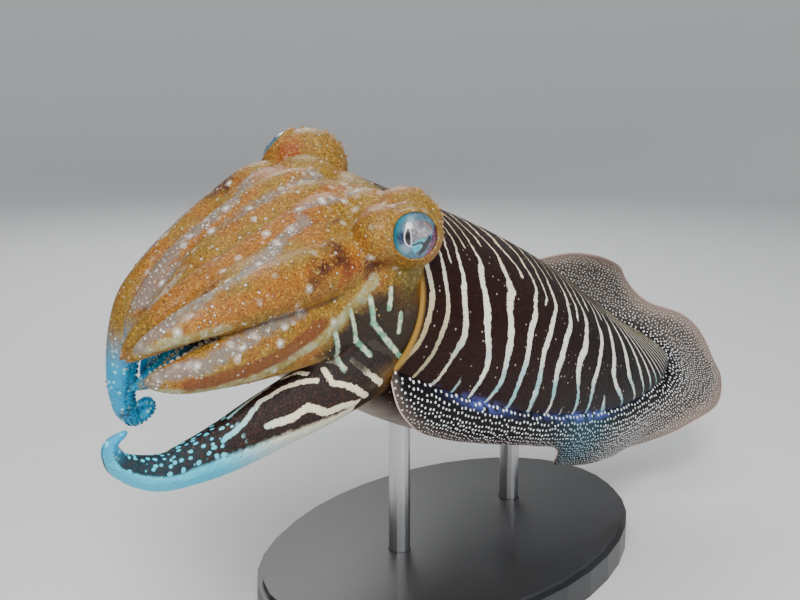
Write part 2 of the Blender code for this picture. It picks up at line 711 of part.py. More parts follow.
def build_base(collection):
    """Flat oval base with softened edges, its underside on the floor."""
    bm = bmesh.new()
    bmesh.ops.create_cone(bm, cap_ends=True, segments=BASE_SIDES, radius1=MM, radius2=MM, depth=BASE_THICKNESS * MM)
    bmesh.ops.scale(bm, vec=(BASE_LENGTH / 2, BASE_WIDTH / 2, 1.0), verts=bm.verts)
    bmesh.ops.translate(bm, vec=(0.0, 0.0, BASE_THICKNESS / 2 * MM), verts=bm.verts)
    rims = [edge for edge in bm.edges if abs(edge.verts[0].co.z - edge.verts[1].co.z) < 1e-6]
    rims = [edge for edge in rims if edge.verts[0].co.z > BASE_THICKNESS / 2 * MM]
    bmesh.ops.bevel(bm, geom=rims, offset=BASE_BEVEL * MM, segments=2, affect="EDGES")
    mesh_data = mesh_from(bm, "stand_base")
    return add_object("stand_base", mesh_data, collection, make_material("stand_base"))


def animal_pose():
    """Matrix that carries the animal's own frame to its place above the stand."""
    turn = Matrix.Rotation(math.radians(NOSE_UP_DEG), 4, "Y") @ Matrix.Rotation(math.radians(BANK_DEG), 4, "X")
    return Matrix.Translation(Vector((ORIGIN_X, ORIGIN_Y, ORIGIN_HEIGHT)) * MM) @ turn


def build_rod(name, place, base, mantle, collection, tools):
    """Upright rod from a socket in the base to the belly, where it is cut to the belly's form."""
    pose = animal_pose()
    under = pose @ (Vector(mantle_centre(place)) * MM)
    low = (BASE_THICKNESS - ROD_SOCKET) * MM
    high = under.z
    bm = bmesh.new()
    bmesh.ops.create_cone(bm, cap_ends=True, segments=ROD_SIDES, radius1=ROD_RADIUS * MM, radius2=ROD_RADIUS * MM,
                          depth=high - low)
    bmesh.ops.translate(bm, vec=(under.x, under.y, (high + low) / 2), verts=bm.verts)
    rod = add_object(name, mesh_from(bm, name), collection, make_material("stand_rod"))
    combine(base, [swollen(rod)], "DIFFERENCE", tools)
    belly = swollen(mantle)
    belly.transform(pose)
    combine(rod, [belly], "DIFFERENCE", tools)
    return rod


def clear_scene():
    """Remove every object of the scene."""
    for obj in list(bpy.data.objects):
        bpy.data.objects.remove(obj, do_unlink=True)


def main():
    """Build the animal in its own frame, hang it on its pose empty and set the stand under it."""
    clear_scene()
    chance = random.Random(SEED)
    collection = bpy.data.collections.new("common_cuttlefish")
    tools = bpy.data.collections.new("cutters")
    for group in (collection, tools):
        bpy.context.scene.collection.children.link(group)
    eyes = [build_eye(side, collection) for side in EYE_WINDOWS]
    head, form = build_head(collection, tools, eyes)
    mantle = build_mantle(collection, tools, form)
    funnel = build_funnel(collection, tools, [form, mantle])
    placed = [*eyes, form, mantle, funnel]
    for arm in ARMS:
        placed += build_arm(arm, collection, tools, placed, form, chance)
    for side in ("left", "right"):
        placed += build_fin(side, collection, tools, placed)
    placed[placed.index(form)] = head
    bpy.data.objects.remove(form)
    pose = bpy.data.objects.new("pose", None)
    collection.objects.link(pose)
    pose.matrix_world = animal_pose()
    for piece in placed:
        piece.parent = pose
    base = build_base(collection)
    for name, place in ROD_PLACES.items():
        build_rod(name, place, base, mantle, collection, tools)


main()
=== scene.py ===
"""Looks of the common cuttlefish on its display stand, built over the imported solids.

Lengths are in millimetres in the animal's own frame, as in the part's source: the middle of the
mantle's opening is the origin, the tail lies towards +X, the right side towards +Y and the back
towards +Z. One pose carries everything into the world, which is in metres.
"""

from __future__ import annotations

import logging
import math
from dataclasses import dataclass, field
from enum import Enum
from typing import Any, Iterable, Sequence
import bpy
import numpy as np
from mathutils import Matrix, Vector
from mathutils.kdtree import KDTree


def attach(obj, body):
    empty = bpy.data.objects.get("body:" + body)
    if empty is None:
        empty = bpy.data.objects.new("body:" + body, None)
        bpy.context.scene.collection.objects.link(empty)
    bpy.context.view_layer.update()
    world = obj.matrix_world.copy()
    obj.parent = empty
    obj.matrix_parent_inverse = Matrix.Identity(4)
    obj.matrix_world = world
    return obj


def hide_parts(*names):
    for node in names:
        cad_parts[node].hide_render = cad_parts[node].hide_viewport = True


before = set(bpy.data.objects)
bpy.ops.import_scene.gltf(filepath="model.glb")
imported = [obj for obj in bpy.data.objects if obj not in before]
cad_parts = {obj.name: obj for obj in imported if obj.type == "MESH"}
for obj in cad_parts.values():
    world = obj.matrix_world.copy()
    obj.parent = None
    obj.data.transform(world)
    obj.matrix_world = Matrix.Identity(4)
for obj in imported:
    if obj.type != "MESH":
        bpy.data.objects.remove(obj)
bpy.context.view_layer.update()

MM = 0.001
LOG = logging.getLogger("cuttlefish")

Points = np.ndarray
Table = Sequence[Sequence[float]]
Triple = tuple[float, float, float]
Colour = Triple
BREAK = 1e3  # Length that stands for a break in a row of points.
FAR = -9.0  # Painted where a mark lies far away, since marks are stored as depths inside their outline.


class Side(Enum):
    """Which side of the animal a piece belongs to, with its sign on the Y axis."""

    LEFT = -1.0
    RIGHT = 1.0


# Numbers and shapes.


def smooth(stations: Table, places: Any) -> Points:
    """Values on the smooth curve through stations.

    Args:
        stations: rows of a place and the values there.
        places: the places to read, one number or an array of them.

    Returns:
        An array with one row for each place and one column for each value.
    """
    table = np.array(stations, dtype=float)
    knots, values = table[:, 0], table[:, 1:]
    slopes = np.gradient(values, knots, axis=0)
    places = np.clip(np.atleast_1d(np.asarray(places, dtype=float)), knots[0], knots[-1])
    first = np.clip(np.searchsorted(knots, places, side="right") - 1, 0, len(knots) - 2)
    span = (knots[first + 1] - knots[first])[:, None]
    u = (places - knots[first])[:, None] / span
    return (
        (2 * u**3 - 3 * u**2 + 1) * values[first]
        + (u**3 - 2 * u**2 + u) * span * slopes[first]
        + (3 * u**2 - 2 * u**3) * values[first + 1]
        + (u**3 - u**2) * span * slopes[first + 1]
    )


def ease(low: float, high: float, value: Points) -> Points:
    """Smooth step from 0 at low to 1 at high."""
    share = np.clip((value - low) / (high - low), 0.0, 1.0)
    return share * share * (3.0 - 2.0 * share)


def unit(vectors: Any) -> Points:
    """Vectors scaled to length one."""
    vectors = np.asarray(vectors, dtype=float)
    return vectors / np.maximum(np.linalg.norm(vectors, axis=-1, keepdims=True), 1e-9)


def near(points: Points, centre: Sequence[float], radius: float) -> Points:
    """Soft weight that is 1 at a centre and fades over a radius."""
    return np.exp(-np.sum((points - np.array(centre)) ** 2, axis=-1) / radius**2)


def circle(sides: int) -> Points:
    """Angles evenly round a full turn."""
    return np.arange(sides) * 2.0 * math.pi / sides


def hoop(across: Points, up: Points, sides: int) -> Points:
    """Points round a circle of radius one, given by its two directions."""
    swing = circle(sides)
    return across * np.cos(swing)[:, None] + up * np.sin(swing)[:, None]


def inside_outline(points: Points, outline: Table) -> Points:
    """Signed distance to a closed outline in a plane.

    Args:
        points: N by 2 array.
        outline: corners in order.

    Returns:
        The distance to the outline, positive inside it.
    """
    corners = np.array(outline, dtype=float)
    following = np.roll(corners, -1, axis=0)
    best = np.full(len(points), 1e9)
    inside = np.zeros(len(points), dtype=bool)
    for start, end in zip(corners, following):
        run = end - start
        share = np.clip((points - start) @ run / (run @ run), 0.0, 1.0)
        best = np.minimum(best, np.linalg.norm(points - start - share[:, None] * run, axis=1))
        crosses = (start[1] > points[:, 1]) != (end[1] > points[:, 1])
        with np.errstate(divide="ignore", invalid="ignore"):
            reach = start[0] + (points[:, 1] - start[1]) / (end[1] - start[1]) * run[0]
        inside ^= crosses & (points[:, 0] < reach)
    return np.where(inside, best, -best)


def beside_line(points: Points, line: Table) -> Points:
    """Distance of points from an open line of corners, in a plane or in space.

    Args:
        points: array with a row for each point.
        line: corners in order.

    Returns:
        The distance of each point.
    """
    corners = np.array(line, dtype=float)
    best = np.full(len(points), 1e9)
    for start, end in zip(corners, corners[1:]):
        run = end - start
        share = np.clip((points - start) @ run / (run @ run), 0.0, 1.0)
        best = np.minimum(best, np.linalg.norm(points - start - share[:, None] * run, axis=1))
    return best


# Pose and meshes.


@dataclass(frozen=True)
class Pose:
    """How the animal hangs above the floor."""

    nose_up_deg: float = 23.5
    bank_deg: float = 24.0
    origin: Triple = (-72.0, 6.0, 118.0)

    def matrix(self) -> Matrix:
        """World matrix of the animal's own frame, for points in metres.

        Returns:
            The matrix that pitches and banks the animal and carries it to its place.
        """
        turn = Matrix.Rotation(math.radians(self.nose_up_deg), 4, "Y")
        turn = turn @ Matrix.Rotation(math.radians(self.bank_deg), 4, "X")
        return Matrix.Translation(Vector(self.origin) * MM) @ turn

    def place(self, points: Points) -> Points:
        """Carry points from millimetres in the animal's frame to metres in the world."""
        matrix = np.array(self.matrix())
        return points * MM @ matrix[:3, :3].T + matrix[:3, 3]

    def unplace(self, points: Points) -> Points:
        """Carry points from metres in the world to millimetres in the animal's frame."""
        matrix = np.array(self.matrix())
        return (points - matrix[:3, 3]) @ matrix[:3, :3] / MM


POSE = Pose()


class MeshPlan:
    """Patches of points, faces and painted values that become one mesh."""

    def __init__(self) -> None:
        """Start with nothing."""
        self.points: list[Points] = []
        self.faces: list[tuple[int, ...]] = []
        self.values: dict[str, list[Points]] = {}
        self.count = 0

    def add(self, points: Points, faces: Iterable[Sequence[int]], **values: Any) -> None:
        """Add a patch.

        Args:
            points: N by 3 array in the animal's frame.
            faces: corner numbers within this patch.
            values: named numbers at each point, or one number for all of them.
        """
        for name in set(values) - set(self.values):
            self.values[name] = [np.zeros(self.count)]
        for name, store in self.values.items():
            store.append(np.broadcast_to(np.asarray(values.get(name, 0.0), dtype=float), (len(points),)))
        self.faces += [tuple(int(corner) + self.count for corner in face) for face in faces]
        self.points.append(points)
        self.count += len(points)

    def build(self, name: str) -> bpy.types.Object:
        """Make the object, smooth shaded, with its values stored on its points.

        Args:
            name: its name.

        Returns:
            The object, linked to the scene.
        """
        mesh = bpy.data.meshes.new(name)
        mesh.from_pydata(POSE.place(np.concatenate(self.points)).tolist(), [], self.faces)
        for label, store in self.values.items():
            paint(mesh, label, np.concatenate(store))
        mesh.shade_smooth()
        piece = bpy.data.objects.new(name, mesh)
        bpy.context.scene.collection.objects.link(piece)
        return piece


def paint(mesh: bpy.types.Mesh, label: str, values: Points) -> None:
    """Store one number at each point of a mesh."""
    layer = mesh.attributes.get(label) or mesh.attributes.new(label, "FLOAT", "POINT")
    layer.data.foreach_set("value", np.asarray(values, dtype=np.float32))


def grid_faces(rows: int, columns: int, closed: bool, flip: bool = False) -> list[tuple[int, ...]]:
    """Quads of a grid of points stored row by row.

    Args:
        rows: number of rows.
        columns: number of points in a row.
        closed: whether each row runs round to its own start.
        flip: whether the faces look the other way.

    Returns:
        Corner numbers of each quad.
    """
    faces = []
    for row in range(rows - 1):
        for column in range(columns if closed else columns - 1):
            beside = (column + 1) % columns
            low, high = row * columns, (row + 1) * columns
            face = (low + column, low + beside, high + beside, high + column)
            faces.append(face[::-1] if flip else face)
    return faces


def cap_faces(start: int, columns: int, middle: int, flip: bool) -> list[tuple[int, ...]]:
    """Triangles from a closed row to one middle point."""
    fan = [(start + column, start + (column + 1) % columns, middle) for column in range(columns)]
    return [face[::-1] for face in fan] if flip else fan


def ball(centre: Points, radius: float, stretch: Sequence[float] = (1.0, 1.0, 1.0)) -> tuple[Points, list]:
    """Points and faces of a ball.

    Args:
        centre: its middle.
        radius: its radius.
        stretch: how much it is drawn out along each axis.

    Returns:
        Its points and its faces.
    """
    rings, sides = 40, 60
    polar = np.linspace(0.0, math.pi, rings)
    turn = circle(sides)
    points = np.stack([
        np.sin(polar)[:, None] * np.cos(turn), np.sin(polar)[:, None] * np.sin(turn),
        np.repeat(np.cos(polar)[:, None], sides, axis=1),
    ], axis=-1)
    return centre + points.reshape(-1, 3) * radius * np.array(stretch), grid_faces(rings, sides, True)


def closed_rings(rings: Points, ends: Any = None) -> tuple[Points, list]:
    """Close a tube of rings with a point over each end.

    Args:
        rings: array with a row of points for each ring.
        ends: the two points, or none for the middles of the end rings.

    Returns:
        Its points and its faces.
    """
    rows, columns = rings.shape[:2]
    ends = [rings[0].mean(axis=0), rings[-1].mean(axis=0)] if ends is None else ends
    points = np.concatenate([rings.reshape(-1, 3), ends])
    faces = grid_faces(rows, columns, True) + cap_faces(0, columns, rows * columns, True)
    return points, faces + cap_faces((rows - 1) * columns, columns, rows * columns + 1, False)


def mesh_points(mesh: bpy.types.Mesh) -> Points:
    """Read the points of a mesh.

    Args:
        mesh: the mesh.

    Returns:
        An array with a row for each point.
    """
    points = np.zeros(len(mesh.vertices) * 3)
    mesh.vertices.foreach_get("co", points)
    return points.reshape(-1, 3)


def write_points(mesh: bpy.types.Mesh, points: Points) -> None:
    """Move all points of a mesh."""
    mesh.vertices.foreach_set("co", points.ravel())
    mesh.update()


def apply_modifiers(piece: bpy.types.Object) -> None:
    """Replace a mesh by the one that its modifiers make.

    Args:
        piece: the object.
    """
    graph = bpy.context.evaluated_depsgraph_get()
    result = bpy.data.meshes.new_from_object(piece.evaluated_get(graph))
    old = piece.data
    piece.modifiers.clear()
    piece.data = result
    bpy.data.meshes.remove(old)


def join(piece: bpy.types.Object, other: bpy.types.Object) -> None:
    """Join another object into a piece."""
    with bpy.context.temp_override(active_object=piece, selected_editable_objects=[piece, other]):
        bpy.ops.object.join()


# Shading.


class Field:
    """A number that varies over a surface: arithmetic on it adds Math nodes."""

    def __init__(self, surface: Surface, socket: Any) -> None:
        """Wrap an output socket of a surface's graph."""
        self.surface = surface
        self.socket = socket

    def maths(self, operation: str, *values: Any, clamp: bool = False) -> Field:
        """Math node.

        Args:
            operation: what it does.
            values: its inputs in order, or none for this value alone.
            clamp: whether the result is held between 0 and 1.

        Returns:
            The result.
        """
        inputs = dict(enumerate(values or (self,)))
        settings = {"operation": operation, "use_clamp": clamp}
        return Field(self.surface, self.surface.node("ShaderNodeMath", settings, inputs).outputs[0])

    def __add__(self, other: Any) -> Field:
        """Sum."""
        return self.maths("ADD", self, other)

    __radd__ = __add__

    def __sub__(self, other: Any) -> Field:
        """Difference."""
        return self.maths("SUBTRACT", self, other)

    def __rsub__(self, other: Any) -> Field:
        """Difference with this value second."""
        return self.maths("SUBTRACT", other, self)

    def __mul__(self, other: Any) -> Field:
        """Product."""
        return self.maths("MULTIPLY", self, other)

    __rmul__ = __mul__

    def __truediv__(self, other: Any) -> Field:
        """Quotient."""
        return self.maths("DIVIDE", self, other)

    def most(self, other: Any) -> Field:
        """The larger of two values."""
        return self.maths("MAXIMUM", self, other)

    def step(self, low: float, high: float) -> Field:
        """Smooth step between two values.

        Args:
            low: where it is 0.
            high: where it is 1, which may be less than low.

        Returns:
            The stepped value.
        """
        settings = {"interpolation_type": "SMOOTHSTEP"}
        ends = (low, high, 0.0, 1.0) if low < high else (high, low, 1.0, 0.0)
        names = ("From Min", "From Max", "To Min", "To Max")
        node = self.surface.node("ShaderNodeMapRange", settings, {"Value": self, **dict(zip(names, ends))})
        return Field(self.surface, node.outputs["Result"])


class Surface:
    """The shader graph of one finish."""

    def __init__(self, name: str) -> None:
        """Make a material with a plain principled shader.

        Args:
            name: the material's name.
        """
        self.material = bpy.data.materials.new(name)
        self.material.use_nodes = True
        self.tree = self.material.node_tree
        self.shader = self.tree.nodes["Principled BSDF"]

    def node(self, kind: str, settings: dict[str, Any] | None = None,
             inputs: dict[Any, Any] | None = None) -> Any:
        """Add a node.

        Args:
            kind: the node's type.
            settings: its own properties, which are set first.
            inputs: its sockets by name or number, each with a value, a Field or a socket.

        Returns:
            The new node.
        """
        node = self.tree.nodes.new(kind)
        for name, value in (settings or {}).items():
            setattr(node, name, value)
        for name, value in (inputs or {}).items():
            self.plug(node.inputs[name], value)
        return node

    def plug(self, socket: Any, value: Any) -> None:
        """Give a socket a value, or link it.

        Args:
            socket: the input socket.
            value: a number, a tuple, a Field or an output socket.
        """
        if isinstance(value, Field):
            value = value.socket
        if isinstance(value, bpy.types.NodeSocket):
            self.tree.links.new(value, socket)
        elif isinstance(value, tuple) and len(socket.default_value) == 4:
            socket.default_value = (*value, 1.0)
        else:
            socket.default_value = value

    def value(self, label: str) -> Field:
        """Number painted on the mesh."""
        return Field(self, self.node("ShaderNodeAttribute", {"attribute_name": label}).outputs["Fac"])

    def place(self) -> Any:
        """Position on the object, in metres."""
        return self.node("ShaderNodeTexCoord").outputs["Object"]

    def vector(self, x: Any, y: Any, z: Any = 0.0) -> Any:
        """Vector of three numbers."""
        return self.node("ShaderNodeCombineXYZ", {}, {0: x, 1: y, 2: z}).outputs[0]

    def noise(self, size: float, detail: float = 3.0, roughness: float = 0.55, at: Any = None) -> Field:
        """Soft noise, 0 to 1, with lumps of a size in millimetres."""
        inputs = {"Scale": 1.0 / (size * MM), "Detail": detail, "Roughness": roughness,
                  "Vector": at or self.place()}
        return Field(self, self.node("ShaderNodeTexNoise", {}, inputs).outputs["Fac"])

    def cells(self, size: float, at: Any = None, randomness: float = 1.0) -> Any:
        """Cells round scattered points.

        Args:
            size: their size, in millimetres or in units of the vector.
            at: vector that takes the place of the position on the object.
            randomness: how far they are scattered.

        Returns:
            The node, with the distance and colour of the nearest cell.
        """
        scale = 1.0 / (size * MM) if at is None else 1.0 / size
        inputs = {"Scale": scale, "Randomness": randomness, "Vector": at or self.place()}
        return self.node("ShaderNodeTexVoronoi", {"feature": "F1"}, inputs)

    def dots(self, cells: Any, radius: Any, soft: float = 0.08) -> Field:
        """Round dots at the middles of cells, with a radius in cells."""
        distance = Field(self, cells.outputs["Distance"])
        return (distance - radius).step(soft, -soft)

    def chance(self, cells: Any) -> Field:
        """Random number of each cell."""
        parts = self.node("ShaderNodeSeparateColor", {}, {0: cells.outputs["Color"]})
        return Field(self, parts.outputs[0])

    def mix(self, share: Any, first: Any, second: Any) -> Any:
        """Colour between two colours.

        Args:
            share: 0 for the first colour, 1 for the second.
            first: a colour or the socket of one.
            second: a colour or the socket of one.

        Returns:
            The socket of the mixed colour.
        """
        node = self.node("ShaderNodeMix", {"data_type": "RGBA"})
        self.plug(node.inputs["Factor"], share)
        for name, colour in (("A", first), ("B", second)):
            self.plug(next(s for s in node.inputs if s.name == name and s.type == "RGBA"), colour)
        return next(s for s in node.outputs if s.type == "RGBA")

    def relief(self, height: Field, depth: float) -> None:
        """Bump the surface, with the height's unit worth a depth in millimetres."""
        bump = self.node("ShaderNodeBump", {}, {"Distance": depth * MM, "Height": height})
        self.plug(self.shader.inputs["Normal"], bump.outputs["Normal"])

    def finish(self, **sockets: Any) -> bpy.types.Material:
        """Set the shader's sockets and give the material.

        Args:
            sockets: values, Fields or sockets, named as the shader's sockets with underscores.

        Returns:
            The finished material.
        """
        for name, value in sockets.items():
            self.plug(self.shader.inputs[name.replace("_", " ")], value)
        return self.material


# Mantle and fins.


@dataclass(frozen=True)
class MantleForm:
    """Sizes of the mantle: half widths and heights from its opening (0) to its tip (1)."""

    length: float = 212.0
    width: Table = ((0.0, 43.0), (0.15, 47.0), (0.35, 49.0), (0.55, 46.5), (0.7, 41.0), (0.82, 32.0),
                    (0.92, 20.5), (0.97, 11.5), (1.0, 2.0))
    height: Table = ((0.0, 38.5), (0.15, 41.0), (0.3, 41.5), (0.5, 37.0), (0.7, 25.5), (0.85, 14.0),
                     (0.94, 7.5), (1.0, 1.6))
    belly: Table = ((0.0, 0.74), (0.3, 0.86), (1.0, 0.9))
    tail_rise: float = 39.0
    tail_rise_late: float = 0.16
    tail_turn: float = 16.0
    tail_turn_late: float = 0.7
    dorsal_lobe: float = 9.0
    rim_depth: float = 9.0
    rim_thickness: float = 1.7

    def centre(self, places: Points) -> Points:
        """Middle of the section at each place.

        Args:
            places: places along the mantle.

        Returns:
            A point for each place.
        """
        places = np.asarray(places, dtype=float)
        turn = self.tail_turn * ((1 - self.tail_turn_late) * places**2 + self.tail_turn_late * places**4)
        rise = self.tail_rise * ((1 - self.tail_rise_late) * places**2 + self.tail_rise_late * places**4)
        return np.stack([self.length * places, -turn, rise], axis=-1)

    def surface(self, places: Points, angles: Points) -> Points:
        """Points of the skin.

        Args:
            places: places along the mantle.
            angles: angles in radians round it, 0 at the right side and a quarter turn at the back.

        Returns:
            An array with a row of points for each place.
        """
        places = np.asarray(places, dtype=float)
        across = smooth(self.width, places) * np.cos(angles)
        up = smooth(self.height, places) * np.sin(angles)
        up = np.where(up < 0.0, up * smooth(self.belly, places), up)
        lobe = self.dorsal_lobe * np.maximum(0.0, np.sin(angles)) ** 3 * (1.0 - places[:, None]) ** 4
        return self.centre(places)[:, None, :] + np.stack([-lobe, across, up], axis=-1)


@dataclass(frozen=True)
class StripeField:
    """Cross stripes of the mantle, which turn lengthwise and crowd together at the tail.

    The flank gives where each stripe crosses it. Each fork is a place along the mantle, one round it,
    and the number of stripes that it adds. The shares under between say how far down each finer
    stripe of the back reaches.
    """

    flank: tuple[float, ...] = (
        -5.0, 5.5, 14.1, 24.4, 35.4, 47.2, 61.3, 74.8, 87.0, 98.4, 111.0, 122.0, 131.0, 138.6,
        *range(145, 212, 6),
    )
    bow: float = 13.0
    bow_share: float = 0.74
    bow_spread: float = 0.3
    back_bow: float = 3.0
    flank_bow: float = 9.8
    foot_slant: float = 7.0
    sweep: float = 0.62
    sweep_power: float = 1.5
    sweep_start: float = 100.0
    length: float = 212.0
    between: tuple[float, ...] = (0.42, 0.56, 0.45, 0.36, 0.52, 0.58, 0.40, 0.48, 0.34, 0.50, 0.45)
    finer_to: float = 13.0
    forks: tuple[Triple, ...] = (
        (27.0, -62.0, 1.0), (27.0, -96.0, -1.0), (93.0, -64.0, 1.0),
        (93.0, -98.0, -1.0), (120.0, -54.0, 1.0), (120.0, -98.0, -1.0),
        (38.0, 60.0, -1.0), (38.0, 96.0, 1.0), (100.0, 62.0, -1.0), (100.0, 98.0, 1.0),
    )
    pinch: float = 0.22
    pinch_area: float = 40.0

    def swept(self, along: Points, share: Points) -> Points:
        """Where each point's stripe crosses the middle of the back, since stripes sweep back at the tail.

        Args:
            along: distance from the opening.
            share: distance from the middle of the back against the fin's root.

        Returns:
            The distance from the opening at which the stripe crosses the back.
        """
        starts = np.linspace(self.sweep_start, self.length, 60)
        turn = ease(116.0, 165.0, starts) * (self.length - starts) * self.sweep
        places = starts + turn * np.minimum(share, 1.0)[..., None] ** self.sweep_power
        index = np.clip(np.sum(places < along[..., None], axis=-1), 1, len(starts) - 1)
        low = np.take_along_axis(places, index[..., None] - 1, axis=-1)[..., 0]
        high = np.take_along_axis(places, index[..., None], axis=-1)[..., 0]
        part = np.clip((along - low) / np.maximum(high - low, 1e-3), 0.0, 1.0)
        return np.where(along > starts[0], starts[index - 1] + part * (starts[1] - starts[0]), along)

    def phase(self, along: Points, around: Points, share: Points) -> tuple[Points, Points, Points]:
        """Count of the stripes at each point, where they are pinched off and where finer ones lie between.

        Args:
            along: distance from the opening.
            around: distance from the middle of the back, negative on the left.
            share: distance from the middle of the back against the fin's root.

        Returns:
            The count, which grows by 1 from stripe to stripe, a weight that ends stripes, and a weight
            that sets a finer stripe between each two.
        """
        share = np.clip(share, 0.0, 1.3)
        bow = self.bow * np.exp(-(((share - self.bow_share) / self.bow_spread) ** 2))
        bow = bow - self.back_bow * ease(0.35, 0.0, share)
        back = self.swept(along, share)
        front = back + (bow - self.flank_bow) * ease(12.0, 92.0, back) * ease(150.0, 100.0, back)
        slant = ease(0.72, 1.0, share)
        front = front - self.foot_slant * slant * ease(85.0, 120.0, back) * ease(150.0, 128.0, back)
        turns = np.interp(front, self.flank, np.arange(len(self.flank)))
        pinch = np.zeros_like(turns)
        sway = np.sin(around * 0.16 + along * 0.05) * 0.08
        sway = sway + np.sin(around * 0.075 - along * 0.11 + 1.3) * 0.12
        sway = sway + np.sin(around * 0.37 + along * 0.21 + 0.6) * 0.035
        turns = turns + sway * ease(150.0, 110.0, along)
        for x, y, sign in self.forks:
            turns = turns + sign * np.arctan2(around - y, along - x) / (2.0 * math.pi)
            pinch = pinch + self.pinch * np.exp(-((along - x) ** 2 + (around - y) ** 2) / self.pinch_area)
        number = np.floor(turns).astype(int) * 2 + (around > 0.0)
        end = np.array(self.between)[number % len(self.between)]
        finer = ease(0.0, -0.12, share - end) * (turns < self.finer_to)
        return turns, pinch, finer


@dataclass(frozen=True)
class FinForm:
    """Sizes of the fins: place on the mantle, width, droop and sweep in degrees of each station."""

    left: Table = (
        (0.004, 4, 66, -34), (0.03, 10, 66, -24), (0.08, 15, 74, -12), (0.16, 16.5, 84, -5),
        (0.3, 15.2, 90, 0), (0.42, 13.5, 84, 0), (0.5, 15.5, 83, 0), (0.565, 28, 97, 0), (0.64, 28, 90, 0),
        (0.74, 29, 88, 2), (0.83, 27, 80, 5), (0.9, 25, 55, 15), (0.95, 27, 30, 30), (0.985, 33, 18, 53),
        (1.0, 35, 8, 76),
    )
    right: Table = (
        (0.03, 5, 20, -10), (0.1, 13, 30, -5), (0.22, 17, 12, 0), (0.34, 19, -8, 0), (0.46, 20, 8, 0),
        (0.6, 22, 32, 0), (0.7, 21.5, 34, 0), (0.775, 22, 8, 3), (0.82, 28, -52, 6), (0.86, 34, -76, 10),
        (0.9, 36, -86, 14), (0.935, 32, -80, 22), (0.957, 24, -62, 40), (0.973, 21, -45, 66),
        (0.987, 28, -34, 88), (1.0, 35, 8, 104),
    )
    base_angle_deg: float = -8.5
    crowding: float = 1.6
    droop_root: float = 0.67
    droop_edge: float = 1.33
    root_thickness: float = 4.5
    edge_thickness: float = 0.9
    root_depth: float = 5.0
    root_fillet: float = 3.4
    fillet_reach: float = 3.0
    steps: int = 420
    strips: int = 44

    def half(self, side: Side, mantle: MantleForm) -> tuple[Points, Points]:
        """One fin from the mantle's opening to the middle of the tail.

        Args:
            side: which fin.
            mantle: the mantle that it grows from.

        Returns:
            Points of its middle sheet, row by row from root to edge, and each row's width.
        """
        stations = np.array(self.left if side is Side.LEFT else self.right, dtype=float)
        runs = np.linspace(0.0, 1.0, self.steps)
        places = stations[0, 0] + (1.0 - stations[0, 0]) * (1.0 - (1.0 - runs) ** self.crowding)
        width, droop, sweep = smooth(stations, places).T
        ahead = np.minimum(places + 0.01, 1.0)
        tailward = unit(mantle.centre(ahead) - mantle.centre(ahead - 0.02))
        right = unit(np.cross((0.0, 0.0, 1.0), tailward))
        up = np.cross(tailward, right)
        angle = math.radians(self.base_angle_deg if side is Side.RIGHT else 180.0 - self.base_angle_deg)
        root = mantle.surface(places, np.array([angle]))[:, 0]
        swing = np.radians(sweep)[:, None]
        outward = side.value * right * np.cos(swing) + tailward * np.sin(swing)
        depth = self.root_depth * np.minimum(1.0, smooth(mantle.width, places) / 20.0)
        sheet = [root - side.value * right * depth, root - side.value * right * depth * 0.45, root]
        curl = self.droop_edge - self.droop_root
        for strip in range(self.strips):
            share = ((strip + 0.5) / self.strips - 0.125) / 0.75
            bend = np.radians(droop)[:, None] * (self.droop_root + curl * share)
            step = (outward * np.cos(bend) - up * np.sin(bend)) * width[:, None] / self.strips
            sheet.append(sheet[-1] + step)
        return np.stack(sheet, axis=1), width

    def thickness(self, share: Points, reach: Points) -> Points:
        """Thickness of the fin.

        Args:
            share: distance from the root against the width.
            reach: distance from the root in millimetres.

        Returns:
            The thickness, which swells into the mantle at the root and is rounded at the edge.
        """
        taper = self.edge_thickness - self.root_thickness
        thick = self.root_thickness + taper * np.maximum(share, 0.0) ** 0.6
        thick = thick + self.root_fillet * np.exp(-np.maximum(reach, 0.0) / self.fillet_reach)
        edge = np.clip((1.0 - share) / 0.03, 0.0, 1.0)
        return thick * np.sqrt(1.0 - (1.0 - edge) ** 2 * 0.98)


